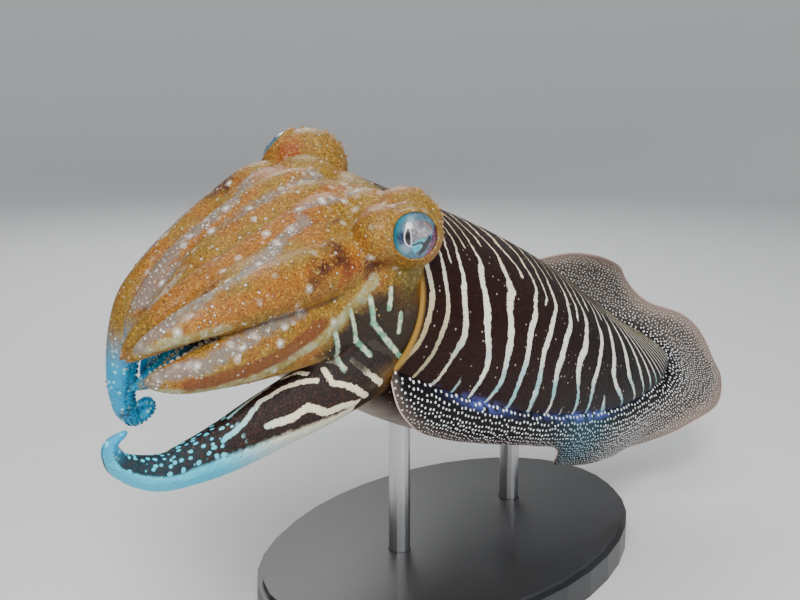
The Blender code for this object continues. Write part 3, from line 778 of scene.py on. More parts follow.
@dataclass(frozen=True)
class MantleFinish:
    """Skin of the mantle and the fins: dark with pale cross stripes, and fins set with white dots."""

    ground_front: Colour = (0.0135, 0.0026, 0.0015)
    ground_rear: Colour = (0.0024, 0.0015, 0.0018)
    cream: Colour = (0.92, 0.80, 0.52)
    white: Colour = (0.95, 0.94, 0.84)
    ice: Colour = (0.28, 0.60, 0.66)
    straw: Colour = (0.42, 0.28, 0.06)
    belly_white: Colour = (0.42, 0.35, 0.30)
    violet: Colour = (0.12, 0.16, 0.56)
    fin_dark: Colour = (0.0026, 0.0022, 0.0032)
    fin_grey: Colour = (0.085, 0.074, 0.066)
    fin_margin: Colour = (0.25, 0.19, 0.16)
    fin_edge: Colour = (0.66, 0.46, 0.44)
    teal: Colour = (0.005, 0.060, 0.075)
    fin_below: Colour = (0.30, 0.235, 0.185)
    brown_grain: Colour = (0.08, 0.024, 0.014)
    speck: Colour = (0.62, 0.52, 0.42)
    belly_grey: Colour = (0.30, 0.24, 0.21)
    rim: Colour = (0.30, 0.17, 0.035)

    def stripes(self, s: Surface) -> tuple[Field, Any]:
        """Mask and colour of the pale stripes.

        Args:
            s: the finish's graph.

        Returns:
            The mask and the colour that it lets in.
        """
        ragged = (s.noise(2.2, 2.0) - 0.5) * 0.9 + (s.noise(0.7, 1.0) - 0.5) * 0.45
        wave = s.value("stripe_cos") * ragged.maths("COSINE") - s.value("stripe_sin") * ragged.maths("SINE")
        wave = wave + (wave * wave * 2.0 - 1.0 - wave) * s.value("finer")
        mask = (wave - s.value("stripe_level")).step(-0.06, 0.1)
        broken = s.noise(1.3, 2.0).step(0.36, 0.5)
        mask = mask * (1.0 - s.value("broken") * (1.0 - broken))
        low = s.value("share")
        colour = s.mix(low.step(0.1, 0.55), self.cream, self.white)
        colour = s.mix(low.step(0.68, 0.86) * s.noise(9.0, 1.0).step(0.3, 0.6), colour, self.ice)
        colour = s.mix(s.value("front") * low.step(0.3, 0.8) * 0.8, colour, self.straw)
        fleck = s.noise(0.9, 2.0).step(0.42, 0.72)
        return mask, s.mix(fleck * 0.35, colour, self.straw)

    def web(self, s: Surface) -> Any:
        """Colour of the fins between their dots.

        Args:
            s: the finish's graph.

        Returns:
            The colour's socket.
        """
        out, edge, pale, below = s.value("out"), s.value("edge"), s.value("pale"), s.value("below")
        grain = s.noise(1.1, 3.0)
        net = s.cells(1.15)
        web = s.mix((out.step(2.0, 15.0) * pale) * (0.55 + 0.45 * grain), self.fin_dark, self.fin_grey)
        web = s.mix(s.dots(net, 0.42, 0.2) * out.step(4.0, 14.0) * (0.12 + pale * 0.3), web, self.fin_margin)
        web = s.mix(edge.step(8.0, 2.0) * pale * 0.85, web, self.fin_margin)
        web = s.mix(edge.step(6.0, 1.0) * (1.0 - pale) * 0.35, web, self.fin_margin)
        web = s.mix(s.value("teal") * 0.8, web, self.teal)
        web = s.mix(s.value("glow") * s.noise(4.0, 3.0).step(0.34, 0.58) * 0.8, web, self.violet)
        web = s.mix(below * (0.7 + 0.3 * grain), web, self.fin_below)
        return s.mix(edge.step(0.75, 0.35), web, self.fin_edge)

    def material(self) -> bpy.types.Material:
        """Build the finish.

        Returns:
            Its material.
        """
        s = Surface("mantle_skin")
        mask, pale = self.stripes(s)
        mask = mask * s.value("striped")
        rear = s.value("along").step(40.0, 150.0)
        ground = s.mix(rear, self.ground_front, self.ground_rear)
        stipple = s.cells(0.75)
        ground = s.mix(s.dots(stipple, 0.3, 0.15) * 0.4, ground, self.brown_grain)
        specks = s.cells(2.6)
        lit = s.dots(specks, 0.13, 0.05) * s.chance(specks).step(0.62, 0.66)
        ground = s.mix(lit * 0.8, ground, self.speck)
        skin = s.mix(mask, ground, pale)
        under = s.value("under")
        mottle = s.noise(6.0, 4.0)
        skin = s.mix(under, skin, s.mix(mottle.step(0.35, 0.7), self.belly_white, self.belly_grey))
        glow = s.value("glow") * s.noise(5.0, 3.0).step(0.38, 0.62)
        skin = s.mix(glow * (1.0 - mask * 0.6) * 0.85, skin, self.violet)
        web = self.web(s)
        skin = s.mix(s.value("fin"), skin, web)
        skin = s.mix(s.value("rim"), skin, self.rim)
        rays = (s.value("fin_along") * 4.2).maths("SINE") * s.value("fin")
        grain = s.noise(1.1, 3.0)
        s.relief(s.noise(1.0, 3.0) * 0.7 + s.noise(5.0, 2.0) * 0.8 + mask * 0.5 + rays * 0.05, 0.35)
        return s.finish(Base_Color=skin, Roughness=0.40 + grain * 0.16, Coat_Weight=0.03,
                        Coat_Roughness=0.2, Specular_IOR_Level=0.12)


@dataclass(frozen=True)
class DotFinish:
    """White dots of the fins, which fade into the pale margin."""

    white: Colour = (0.92, 0.95, 0.96)
    faded: Colour = (0.38, 0.35, 0.36)
    blue: Colour = (0.20, 0.42, 0.66)

    def material(self) -> bpy.types.Material:
        """Build the finish.

        Returns:
            Its material.
        """
        s = Surface("fin_dots")
        colour = s.mix(s.value("fade"), self.white, self.faded)
        colour = s.mix(s.value("blue") * 0.75, colour, self.blue)
        colour = s.mix(s.noise(1.5).step(0.4, 0.8) * 0.2, colour, self.faded)
        return s.finish(Base_Color=colour, Roughness=0.5, Specular_IOR_Level=0.28)


@dataclass
class FinShell:
    """The fins as one sheet, row by row along the root; its normals point down."""

    sheet: Points
    normals: Points
    half: Points
    width: Points
    out: Points
    share: Points
    pale: Points


@dataclass(frozen=True)
class FinDots:
    """Rows of low round dots on the upper face of the fins, large at the root and fine at the edge."""

    first: float = 0.9
    last: float = 33.0
    spacing: Table = ((0.0, 2.9), (6.0, 2.0), (14.0, 1.6), (40.0, 1.5))
    radius: Table = ((0.0, 0.70), (4.0, 0.52), (14.0, 0.36), (40.0, 0.31))
    height: float = 0.16
    shoulder: tuple[float, float] = (0.8, 0.55)
    sides: int = 8
    edge_share: float = 0.955
    blue_place: Triple = (118.0, -58.0, -2.0)
    blue_radius: float = 18.0
    seed: int = 3

    def add_dot(self, plan: MeshPlan, middle: Points, axes: Points, radius: float, **values: float) -> None:
        """Add one closed dome.

        Args:
            plan: mesh to add to.
            middle: its place on the skin.
            axes: two directions along the skin and the one out of it.
            radius: its size.
            values: numbers that its finish reads.
        """
        ring = hoop(axes[0], axes[1], self.sides)
        low, high = middle - axes[2] * self.height, middle + axes[2] * self.height
        reach, lift = self.shoulder
        shoulder = middle + axes[2] * self.height * lift + ring * radius * reach
        plan.add(*closed_rings(np.array([low + ring * radius, shoulder]), [low, high]), **values)

    def build(self, shell: FinShell) -> bpy.types.Object:
        """Set the dots on the fins' upper face, row by row from the root out.

        Args:
            shell: the fins' sheet.

        Returns:
            The dots as one piece.
        """
        chance = np.random.default_rng(self.seed)
        plan = MeshPlan()
        face = shell.sheet - shell.normals * shell.half
        rows = np.arange(len(face))
        spacing, radii = (np.array(table, dtype=float).T for table in (self.spacing, self.radius))
        distance = self.first
        while distance < self.last:
            share = distance / shell.width
            column = 2.0 + share * (face.shape[1] - 3)
            kept = rows[(share < self.edge_share) & (column < face.shape[1] - 1.001)]
            low = np.floor(column[kept]).astype(int)
            part = (column[kept] - low)[:, None]
            line = face[kept, low] * (1.0 - part) + face[kept, low + 1] * part
            out = -shell.normals[kept, low]
            gap = float(np.interp(distance, *spacing))
            runs = np.where(np.diff(kept) > 1, BREAK, np.linalg.norm(np.diff(line, axis=0), axis=1))
            run = np.concatenate([[0.0], np.cumsum(runs)])
            place = gap * chance.uniform(0.2, 0.8)
            while place < run[-1]:
                index = int(np.searchsorted(run, place)) - 1
                step = run[index + 1] - run[index]
                if step > BREAK / 2:
                    place = run[index + 1] + gap * 0.5
                    continue
                blend = (place - run[index]) / max(step, 1e-6)
                normal = unit(out[index] * (1.0 - blend) + out[index + 1] * blend)
                ahead = unit(line[index + 1] - line[index])
                beside = unit(np.cross(normal, ahead))
                ahead = np.cross(beside, normal)
                shift = ahead * chance.normal(0.0, 0.10 * gap) + beside * chance.normal(0.0, 0.15 * gap)
                middle = line[index] * (1.0 - blend) + line[index + 1] * blend + shift
                radius = float(np.interp(distance, *radii)) * chance.uniform(0.8, 1.15)
                left = float(shell.width[kept[index]]) - distance
                rear = float(shell.pale[kept[index]])
                fade = float(ease(6.5, 0.8, np.array(left))) * (0.55 + 0.35 * rear)
                fade = max(fade, 0.3 * rear * float(ease(6.0, 18.0, np.array(distance))))
                blue = float(near(middle, self.blue_place, self.blue_radius))
                radius *= 1.0 - 0.25 * fade
                self.add_dot(plan, middle, np.array([ahead, beside, normal]), radius, fade=fade, blue=blue)
                place += gap * chance.uniform(0.92, 1.08)
            distance += gap * 0.87
        piece = plan.build("fin_dots")
        piece.data.materials.append(DotFinish().material())
        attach(piece, "root")
        return piece


@dataclass
class MantleSkin:
    """Skin of the mantle with its fins, which run on unbroken round the tail."""

    mantle: MantleForm = MantleForm()
    fins: FinForm = FinForm()
    stripes: StripeField = StripeField()
    rows: int = 300
    columns: int = 336
    stripe_share: Table = ((0, 0.16), (0.2, 0.17), (0.5, 0.27), (0.8, 0.26), (0.95, 0.18), (1.08, 0.07))
    seam: int = 70
    seam_rounds: int = 90

    def profile(self) -> tuple[Points, Points, Points]:
        """Rings of the skin, from inside the opening over its lip to the tip.

        Returns:
            Their places along the mantle, how far each is drawn in from there, and their scales.
        """
        lip = 1.0 - self.mantle.rim_thickness / self.mantle.width[0][1]
        turn = np.linspace(0.0, math.pi, 10)
        half = (1.0 - lip) / 2
        insets = np.concatenate([[self.mantle.rim_depth, 6.0, 3.5], 0.9 - 0.9 * np.sin(turn[:-1])])
        scales = np.concatenate([[lip] * 3, lip + half - half * np.cos(turn[:-1])])
        outer = np.linspace(0.0, 1.0, self.rows) ** 1.03
        outer = 0.0042 + outer * 0.9958
        places = np.concatenate([np.zeros(len(insets)), outer])
        insets = np.concatenate([insets, np.zeros(self.rows)])
        scales = np.concatenate([scales, np.ones(self.rows)])
        return places, insets, scales

    def add_mantle(self, plan: MeshPlan) -> None:
        """Add the mantle's own skin, closed inside its opening and at its tip.

        Args:
            plan: mesh to add to.
        """
        angles = np.radians(-90.0) + circle(self.columns)
        places, insets, scales = self.profile()
        surface = self.mantle.surface(places, angles)
        centre = self.mantle.centre(places)[:, None, :]
        surface = centre + (surface - centre) * scales[:, None, None]
        surface[..., 0] += insets[:, None]
        steps = np.linalg.norm(np.diff(surface, axis=1), axis=2)
        arc = np.concatenate([np.zeros((len(places), 1)), np.cumsum(steps, axis=1)], axis=1)
        back = int(np.argmin(np.abs(angles - math.pi / 2)))
        around = -(arc - arc[:, back:back + 1])
        root = math.radians(180.0 - self.fins.base_angle_deg)
        base = int(np.argmin(np.abs(angles - root)))
        share = np.abs(around) / np.maximum(np.abs(around[:, base:base + 1]), 1.0)
        along = np.repeat(self.mantle.length * places[:, None], self.columns, axis=1) - insets[:, None]
        turns, pinch, finer = self.stripes.phase(along, around, share)
        turns = turns * 2.0 * math.pi
        level = np.cos(math.pi * smooth(self.stripe_share, share.ravel())).reshape(share.shape)
        level = level + 0.1 * ease(125.0, 150.0, along) * ease(0.3, 0.6, share) + 2.0 * pinch
        level = level - 0.1 * ease(130.0, 150.0, along) * ease(0.5, 0.3, share)
        points, faces = closed_rings(surface)
        rim = np.repeat((1.0 - ease(0.0, 0.010, places))[:, None], self.columns, axis=1)
        glow = near(along[..., None], (44.0,), 15.0) + 0.8 * near(along[..., None], (116.0,), 24.0)
        glow = 0.85 * glow * ease(0.955, 1.005, share) * ease(1.1, 1.04, share)
        values = {
            "stripe_cos": np.cos(turns), "stripe_sin": np.sin(turns), "stripe_level": level, "share": share,
            "along": along, "striped": ease(1.12, 1.02, share) * ease(-1.0, 3.0, along), "rim": rim,
            "under": ease(1.12, 1.45, share), "glow": glow, "finer": finer,
            "broken": ease(44.0, 20.0, along) * ease(0.34, 0.14, share), "front": ease(34.0, 4.0, along),
        }
        values = {name: np.append(value.ravel(), [0.0, 0.0]) for name, value in values.items()}
        plan.add(points, faces, **values)

    def shell(self) -> FinShell:
        """Both fins as one sheet that runs round the tail.

        Returns:
            The sheet with its measures.
        """
        left, left_width = self.fins.half(Side.LEFT, self.mantle)
        right, right_width = self.fins.half(Side.RIGHT, self.mantle)
        sheet = np.concatenate([left, right[-2::-1]])
        width = np.concatenate([left_width, right_width[-2::-1]])
        tail_rows = sheet[len(left) - self.seam:len(left) + self.seam]
        for _ in range(self.seam_rounds):
            tail_rows[1:-1] = (tail_rows[:-2] + 2.0 * tail_rows[1:-1] + tail_rows[2:]) / 4.0
        reach = np.concatenate([[-2.0, -1.0], np.linspace(0.0, 1.0, self.fins.strips + 1)])
        share = np.repeat(np.maximum(reach, 0.0)[None], len(sheet), axis=0)
        out = np.where(reach[None] < 0.0, reach[None] * 2.4, reach[None] * width[:, None])
        normals = unit(np.cross(np.gradient(sheet, axis=0), np.gradient(sheet, axis=1)))
        start = np.concatenate([left[:, 2, 0], right[-2::-1, 2, 0]])
        slim = 0.25 + 0.75 * ease(2.0, 26.0, start)
        tail = ease(194.0, 210.0, start)
        half = (self.fins.thickness(share, out) * (slim * (1.0 - 0.45 * tail))[:, None])[..., None] / 2
        sink = np.exp(-np.maximum(out, 0.0) / 9.0) * (0.9 - 0.75 * tail)[:, None]
        sheet = sheet + normals * half * sink[..., None]
        pale = ease(0.30, 0.60, np.linspace(0.0, 2.0, len(sheet)))
        return FinShell(sheet, normals, half, width, out, share, pale)

    def add_fins(self, plan: MeshPlan, shell: FinShell) -> None:
        """Add both fins as one closed sheet.

        Args:
            plan: mesh to add to.
            shell: the fins' sheet.
        """
        sheet, normals, half, out, share = shell.sheet, shell.normals, shell.half, shell.out, shell.share
        rows, columns = share.shape
        middle = sheet[:, columns // 2]
        run = np.concatenate([[0.0], np.cumsum(np.linalg.norm(np.diff(middle, axis=0), axis=1))])
        glow = near(sheet[..., :1], (47.0,), 15.0) + near(sheet[..., :1], (116.0,), 26.0)
        values = {
            "fin": 1.0, "out": out, "fin_along": run[:, None], "pale": shell.pale[:, None],
            "edge": (1.0 - share) * shell.width[:, None], "teal": near(sheet, (118.0, -58.0, -2.0), 20.0),
            "stripe_level": 2.0, "share": 1.0, "along": sheet[..., 0], "glow": ease(4.0, 0.3, out) * glow,
        }
        values = {name: np.broadcast_to(value, share.shape).ravel() for name, value in values.items()}
        values["below"] = np.zeros(share.size)
        lower = (sheet + normals * half).reshape(-1, 3)
        upper = (sheet - normals * half).reshape(-1, 3)
        count = rows * columns
        faces = grid_faces(rows, columns, False) + [
            tuple(corner + count for corner in face) for face in grid_faces(rows, columns, False, True)
        ]
        border = [row * columns + columns - 1 for row in range(rows)]
        border += [(rows - 1) * columns + column for column in range(columns - 2, -1, -1)]
        border += [row * columns for row in range(rows - 2, -1, -1)] + list(range(1, columns - 1))
        faces += [(corner, beside, beside + count, corner + count)
                  for corner, beside in zip(border, border[1:] + border[:1])]
        both = {name: np.concatenate([value, value]) for name, value in values.items()}
        both["below"][:count] = ease(0.5, 3.0, shell.out).ravel() * ease(0.0, 0.05, 1.0 - share).ravel()
        both["glow"][:count] = 0.0
        plan.add(np.concatenate([lower, upper]), faces, **both)

    def build(self) -> bpy.types.Object:
        """Build and dress the skin.

        Returns:
            The piece.
        """
        plan = MeshPlan()
        shell = self.shell()
        self.add_mantle(plan)
        self.add_fins(plan, shell)
        dots = FinDots().build(shell)
        LOG.info("fin dots built, %d faces", len(dots.data.polygons))
        piece = plan.build("mantle_and_fins")
        piece.data.materials.append(MantleFinish().material())
        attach(piece, "root")
        fins = [f"fin_{side.name.lower()}_{part}" for side in Side for part in ("front", "middle", "rear")]
        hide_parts("mantle", *fins)
        return piece


# Head, arms and funnel.


@dataclass(frozen=True)
class Arm:
    """One arm: its centre line, the way its back faces, and its girth."""

    side: Side
    number: int
    line: Table
    back: Triple
    width: float
    depth: float
    keel: float = 0.0
    slimness: float = 0.75
    nodes: tuple[str, ...] = ("base", "tip")
    taper: float = 2.2
    tip_radius: float = 0.9
    root_narrowing: float = 0.45
    root_share: float = 0.16

    def measured(self) -> Points:
        """The line with its running length.

        Returns:
            An array with the length and the three coordinates of each point.
        """
        points = np.array(self.line, dtype=float)
        lengths = np.concatenate([[0.0], np.cumsum(np.linalg.norm(np.diff(points, axis=0), axis=1))])
        return np.column_stack([lengths, points])

    def length(self) -> float:
        """Length of the line through its points."""
        return float(self.measured()[-1, 0])

    def frames(self, shares: Points) -> tuple[Points, Points, Points]:
        """Places and directions along the arm.

        Args:
            shares: shares of the length, which may run a little past the tip.

        Returns:
            The point, the sideways direction and the outward direction at each share.
        """
        line = self.measured()
        total = line[-1, 0]
        here = smooth(line, np.minimum(shares, 1.0) * total)
        middle = np.clip(shares * total, 0.5, total - 0.5)
        heading = unit(smooth(line, middle + 0.5) - smooth(line, middle - 0.5))
        here = here + heading * (np.maximum(shares - 1.0, 0.0) * total)[:, None]
        sideways = unit(np.cross(heading, self.back))
        return here, sideways, np.cross(sideways, heading)

    def girth(self, shares: Points) -> tuple[Points, Points, Points]:
        """Sizes across the arm.

        Args:
            shares: shares of the length.

        Returns:
            The half width, the half depth and the keel at each share.
        """
        shares = np.clip(shares, 0.0, 1.0)
        fullness = (1.0 - shares**self.taper) ** self.slimness
        root = np.maximum(0.0, 1.0 - shares / self.root_share) ** 2
        fullness = fullness * (1.0 - self.root_narrowing * root)
        half_width = self.tip_radius + (self.width / 2 - self.tip_radius) * fullness
        half_depth = self.tip_radius + (self.depth / 2 - self.tip_radius) * fullness
        return half_width, half_depth, self.keel * fullness

    def node_names(self) -> list[str]:
        """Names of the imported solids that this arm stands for."""
        return [f"arm_{self.side.name.lower()}_{self.number}_{part}" for part in self.nodes]


THREE = ("base", "middle", "tip")

# Left and right arms in turn, from the uppermost pair down.
ARMS = (
    Arm(Side.LEFT, 1, ((-12, -6, 26), (-26, -8, 23), (-38, -10, 12), (-49, -12, 0), (-59, -13, -10),
                       (-66, -13, -20), (-68, -11, -29), (-67, -9, -37)), (-0.7, -0.15, 0.7), 15.5, 15.0),
    Arm(Side.RIGHT, 1, ((-12, 7, 27), (-26, 8, 24), (-37, 8, 12), (-45, 8, 0), (-52, 7, -11), (-56, 6, -21),
                        (-58, 4, -30), (-56, 2, -39)), (-0.7, 0.15, 0.7), 15.5, 15.0),
    Arm(Side.LEFT, 2, ((-12, -20, 20), (-27, -24, 16), (-42, -27, 7), (-54, -29, 0), (-65, -30, -8),
                       (-72, -29, -15), (-77, -27, -23), (-79, -24, -31)), (-0.55, -0.65, 0.5), 18.0, 15.0),
    Arm(Side.RIGHT, 2, ((-8, 24, 26), (-20, 27, 20), (-29, 27, 6), (-37, 25, -7), (-44, 22, -19),
                        (-48, 19, -30), (-47, 16, -40), (-43, 14, -50), (-38, 13, -58), (-33, 12, -63),
                        (-28, 12, -64), (-26, 11.5, -60), (-29, 11, -57.5), (-31.5, 11, -59.5)),
        (-0.7, 0.6, 0.3), 15.5, 14.5, nodes=THREE),
    Arm(Side.LEFT, 3, ((-4, -26, 8), (-19, -30, 2), (-36, -33, -7), (-51, -35, -15), (-62, -35, -22),
                       (-70, -34, -28), (-76, -31, -33)), (-0.25, -0.95, 0.1), 21.0, 14.0, slimness=0.55),
    Arm(Side.RIGHT, 3, ((0, 25, 14), (-7, 30, 8), (-14, 31, -5), (-22, 27, -19), (-29, 22, -32),
                        (-33, 17, -42), (-34, 14, -50)), (-0.3, 0.9, -0.1), 16.0, 13.0),
    Arm(Side.LEFT, 4, ((10, -28, 2), (3, -33, -3), (-9, -35, -14), (-20, -35, -25), (-30, -35, -35),
                       (-39, -35, -44), (-48, -35, -51), (-57, -35, -56), (-66, -34, -57), (-74, -34, -55),
                       (-78, -34, -51), (-76, -34, -47)), (-0.3, -0.93, -0.2), 27.0, 13.0, 2.0, 0.95, THREE),
    Arm(Side.RIGHT, 4, ((10, 22, -8), (3, 25, -18), (-6, 23, -29), (-16, 19, -38), (-25, 15, -45),
                        (-33, 11, -50), (-40, 8, -53)), (-0.2, 0.85, -0.45), 20.0, 12.0, 2.0, 0.9),
)


@dataclass(frozen=True)
class EyeForm:
    """Place and sizes of one eye, which looks out through a round window."""

    side: Side
    window: Triple
    look: Triple
    up: Triple
    radius: float = 9.5
    window_radius: float = 6.4
    bulge_depth: float = 13.2
    bulge_shift: Triple = (3.0, 0.0, 0.5)
    lid: float = 0.7
    cup_depth: float = 2.4

    def centre(self) -> Points:
        """Middle of the eyeball."""
        return np.array(self.window) - unit(self.look) * self.radius

    def bulge(self) -> Points:
        """Middle of the swelling that carries the eye."""
        return np.array(self.window) - unit(self.look) * self.bulge_depth + np.array(self.bulge_shift)

    def axes(self) -> tuple[Points, Points, Points]:
        """Directions of the eye.

        Returns:
            The directions across it towards the tail, up it, and the way it looks.
        """
        look = unit(self.look)
        up = unit(np.array(self.up) - look * float(np.dot(self.up, look)))
        across = np.cross(up, look) * -self.side.value
        return across, up, look


EYES = (
    EyeForm(Side.LEFT, (-20.0, -37.0, 35.0), (-0.62, -0.76, 0.18), (-0.24, 0.50, 0.83)),
    EyeForm(Side.RIGHT, (-17.0, 38.0, 32.0), (-0.62, 0.76, 0.18), (-0.24, -0.50, 0.83)),
)


@dataclass(frozen=True)
class Stroke:
    """One pale stroke on the lowest arms, through points of length share and degrees from the back."""

    line: Table
    half_width: float


STROKES = (
    Stroke(((0.33, 47), (0.37, 62), (0.42, 72), (0.48, 73), (0.54, 50), (0.61, 42)), 1.15),
    Stroke(((0.24, -14), (0.29, -6), (0.33, -3), (0.38, 17), (0.43, 14), (0.49, 22)), 1.2),
    Stroke(((0.44, 104), (0.5, 98), (0.57, 88)), 0.95),
    Stroke(((0.30, 60), (0.295, 30), (0.26, 16), (0.21, -12)), 1.05),
    Stroke(((0.31, 88), (0.26, 60), (0.25, 40)), 1.05),
    Stroke(((0.225, 48), (0.2, 20), (0.165, -4)), 1.0),
    Stroke(((0.19, 70), (0.155, 44), (0.12, 22)), 0.9),
    Stroke(((0.40, 100), (0.36, 88), (0.345, 70)), 1.0),
)


@dataclass(frozen=True)
class Patch:
    """A soft patch of one tint on the head."""

    tint: str
    centre: Triple
    radius: float
    strength: float


PATCHES = tuple(Patch(tint, *sizes) for tint, rows in {
    "red": (((-23, -1, 31), 9, 0.45), ((-23, -24, 31), 10, 0.62), ((-20, -22, 27), 11, 0.62),
            ((-31, -32, 17), 8, 0.62), ((-38, -11, 21), 9, 0.5), ((-19, 25, 34), 9, 0.6),
            ((-27, 20, 27), 9, 0.5), ((-21, -34, 20), 9, 0.6)),
    "maroon": (((-36, -14, 21), 4, 0.5), ((-35, -28, 18), 7, 0.72), ((-41, -31, 13), 6, 0.7),
               ((-43, -34, 9), 5, 0.65), ((-22, -30, 20), 6, 0.68), ((-18, -31, 24), 5, 0.5),
               ((-33, 31, 12), 9, 0.8)),
    "olive": (((-15, -27, 46), 8, 0.45), ((-8, -36, 24), 8, 1.0), ((-47, -16, 9), 9, 0.7),
              ((-12, 25, 44), 7, 0.6), ((-50, -35, -4), 8, 0.6), ((-64, -30, -2), 9, 0.6),
              ((-10, -2, 36), 11, 0.7)),
}.items() for sizes in rows)


@dataclass(frozen=True)
class Band:
    """A soft band of one tint that runs over the skin through points of the animal's frame."""

    tint: str
    line: Table
    half_width: float


BANDS = (
    Band("grey", ((-18, 22, 29), (-28, 23, 19), (-44, 10, 13), (-50, 9, 3), (-53, 9, -3), (-57, 7, -10),
                  (-59, 6, -17), (-61, 4, -25)), 2.8),
    Band("grey", ((-23, 7, 32), (-34, 2, 23), (-41, 3, 15), (-48, 3, 2), (-52, 2, -6), (-56, 2, -13),
                  (-59, 2, -22), (-67, -6, -28)), 3.0),
    Band("grey", ((-38, -13, 20), (-43, -15, 13), (-50, -20, 9), (-58, -24, 3), (-66, -26, -2),
                  (-72, -28, -7), (-78, -28, -17), (-80, -26, -26)), 2.6),
    Band("grey", ((-42, -33, 0), (-49, -35, -4), (-60, -37, -13), (-67, -38, -21), (-75, -34, -28),
                  (-76, -32, -33)), 2.6),
    Band("grey", ((-20, -8, 36), (-30, -10, 29), (-38, -9, 22)), 1.6),
    Band("grey", ((-30, 33, 12), (-38, 30, 0), (-46, 26, -14), (-50, 22, -26)), 2.4),
    Band("pale", ((-81, -29, -27), (-78, -31, -22), (-73, -34, -17), (-66, -36, -11)), 2.0),
    Band("pale", ((-76, -34, -35), (-69, -38, -31), (-60, -40, -26), (-51, -41, -20), (-42, -41, -11),
                  (-33, -39, -3), (-27, -36, 4), (-22, -34, 11), (-20, -32, 17)), 1.9),
    Band("umber", ((-69, -39, -28), (-58, -41, -20), (-51, -41, -15), (-43, -40, -8), (-35, -38, 1)), 2.4),
    Band("orange_ridge", ((-22, -3, 34), (-34, -8, 26), (-46, -11, 13), (-52, -12, 6), (-58, -13, -1),
                          (-64, -14, -9), (-68, -13, -16)), 3.6),
    Band("orange_ridge", ((-30, -28, 20), (-44, -31, 10), (-54, -33, 3), (-64, -33, -5),
                          (-72, -32, -13)), 3.8),
    Band("orange_ridge", ((-30, 12, 28), (-43, 7, 15), (-50, 6, 3), (-56, 5, -8), (-59, 4, -18)), 1.8),
    # Painted shade: a thin dark line along the crease where the first and second left arms meet.
    Band("fold", ((-30, -17, 26), (-40, -19, 16), (-50, -21, 7), (-58, -21, 0), (-66, -21, -8),
                  (-72, -20, -17)), 0.9),
)

# Outline, seen from the side, of the painted shade below each eye, and the lines of the pale bars in it.
CHEEK_SHADE = ((-31, -9), (-29, 0), (-23, 8), (-19, 14), (-13, 20), (-3, 23), (3, 18), (6, 8), (4, 0), (-3, -5),
         (-12, -9), (-22, -12))
CHEEK_BARS = (((-20, 12), (-16, 6), (-8, 3), (1, 0)), ((-25, 6), (-18, -1), (-11, -3)),
              ((-29, -1), (-18, -10)), ((-14, 17), (-13, 12)), ((-8, 12), (-6, 7)))

# Number of an arm, shares of its length where its blue tip starts and is full, and the tip's strength.
BLUE_TIPS = ((3, 0.62, 0.74, 1.0), (5, 0.72, 0.9, 1.0), (7, 0.6, 0.85, 1.0), (6, 0.9, 0.985, 1.0),
             (1, 0.86, 1.0, 0.5))
UNMARKED = {"stroke": FAR, "low_edge": -2.0, "cheek_stroke": FAR}


@dataclass(frozen=True)
class HeadForm:
    """Sizes of the head: x, z, pitch in degrees, half width and half height of each section."""

    sections: Table = (
        (20, 1, 0, 30, 24), (9, 1.5, 0, 39.5, 31), (-2, 2.5, 12, 39.5, 33.5), (-12, 0, 28, 37.5, 33.5),
        (-20, -6, 36, 34, 29), (-26, -12, 42, 29, 23), (-30, -16, 45, 21, 16), (-33, -19, 48, 9, 7),
    )
    shift: float = -1.5
    rings: int = 90
    sides: int = 110

    def surface(self) -> Points:
        """Rings of points round the head.

        Returns:
            The rings, from the neck to the crown of arms.
        """
        places = np.linspace(0.0, 1.0, len(self.sections))
        x, z, pitch, width, height = smooth(np.column_stack([places, self.sections]),
                                            np.linspace(0.0, 1.0, self.rings)).T
        lean = np.radians(pitch)
        up = np.stack([-np.sin(lean), np.zeros_like(lean), np.cos(lean)], axis=-1)
        swing = circle(self.sides)
        rings = np.stack([x, np.full_like(x, self.shift), z], axis=-1)[:, None, :]
        rings = rings + np.zeros((1, self.sides, 1))
        rings[..., 1] += width[:, None] * np.cos(swing)
        return rings + up[:, None, :] * (height[:, None] * np.sin(swing))[..., None]


@dataclass(frozen=True)
class Lump:
    """A rounded form that fills out the head: its middle and its three radii."""

    centre: Triple
    radii: Triple


LUMPS = (
    Lump((-6.0, -3.0, 20.5), (16.0, 32.0, 18.5)),
    Lump((-12.0, -23.0, 34.0), (9.5, 11.5, 12.0)),
    Lump((-13.0, -14.0, 27.0), (12.0, 14.0, 12.5)),
    Lump((-11.0, -27.0, 33.5), (9.0, 9.5, 12.0)),
    Lump((-5.8, 27.5, 30.1), (13.6, 13.6, 14.0)),
    Lump((-14.0, 14.0, 25.0), (12.0, 14.0, 12.0)),
    Lump((-18.5, -24.5, 28.0), (9.0, 9.5, 10.0)),
    Lump((-22.0, -26.5, 28.5), (8.0, 7.8, 9.0)),
)

# Numbers of two arms, the share of their length at which the skin between them ends, and how nearly
# it is level with their backs.
WEBS = ((0, 1, 0.84, 0.92), (0, 2, 0.86, 0.94), (2, 4, 0.44, 0.95), (1, 3, 0.5, 0.9), (3, 5, 0.4, 0.9),
        (4, 6, 0.2, 0.9), (5, 7, 0.3, 0.9))


@dataclass(frozen=True)
class FunnelForm:
    """Sizes of the funnel under the head."""

    line: Table = ((16, 0, -14), (2, -1, -21), (-10, -2, -28), (-19, -2, -33))
    root: float = 10.5
    mouth: float = 5.8
    bore: float = 3.8


def clear_of_arms(arm: Arm, point: Points) -> bool:
    """Tell whether a point keeps clear of the other arms.

    Args:
        arm: the arm that the point belongs to.
        point: the point.

    Returns:
        True where it does.
    """
    for other in ARMS:
        if other is arm:
            continue
        shares = np.linspace(0.0, 1.0, 40)
        here, _, _ = other.frames(shares)
        if np.any(np.linalg.norm(here - point, axis=1) < other.girth(shares)[1] + 0.5):
            return False
    return True


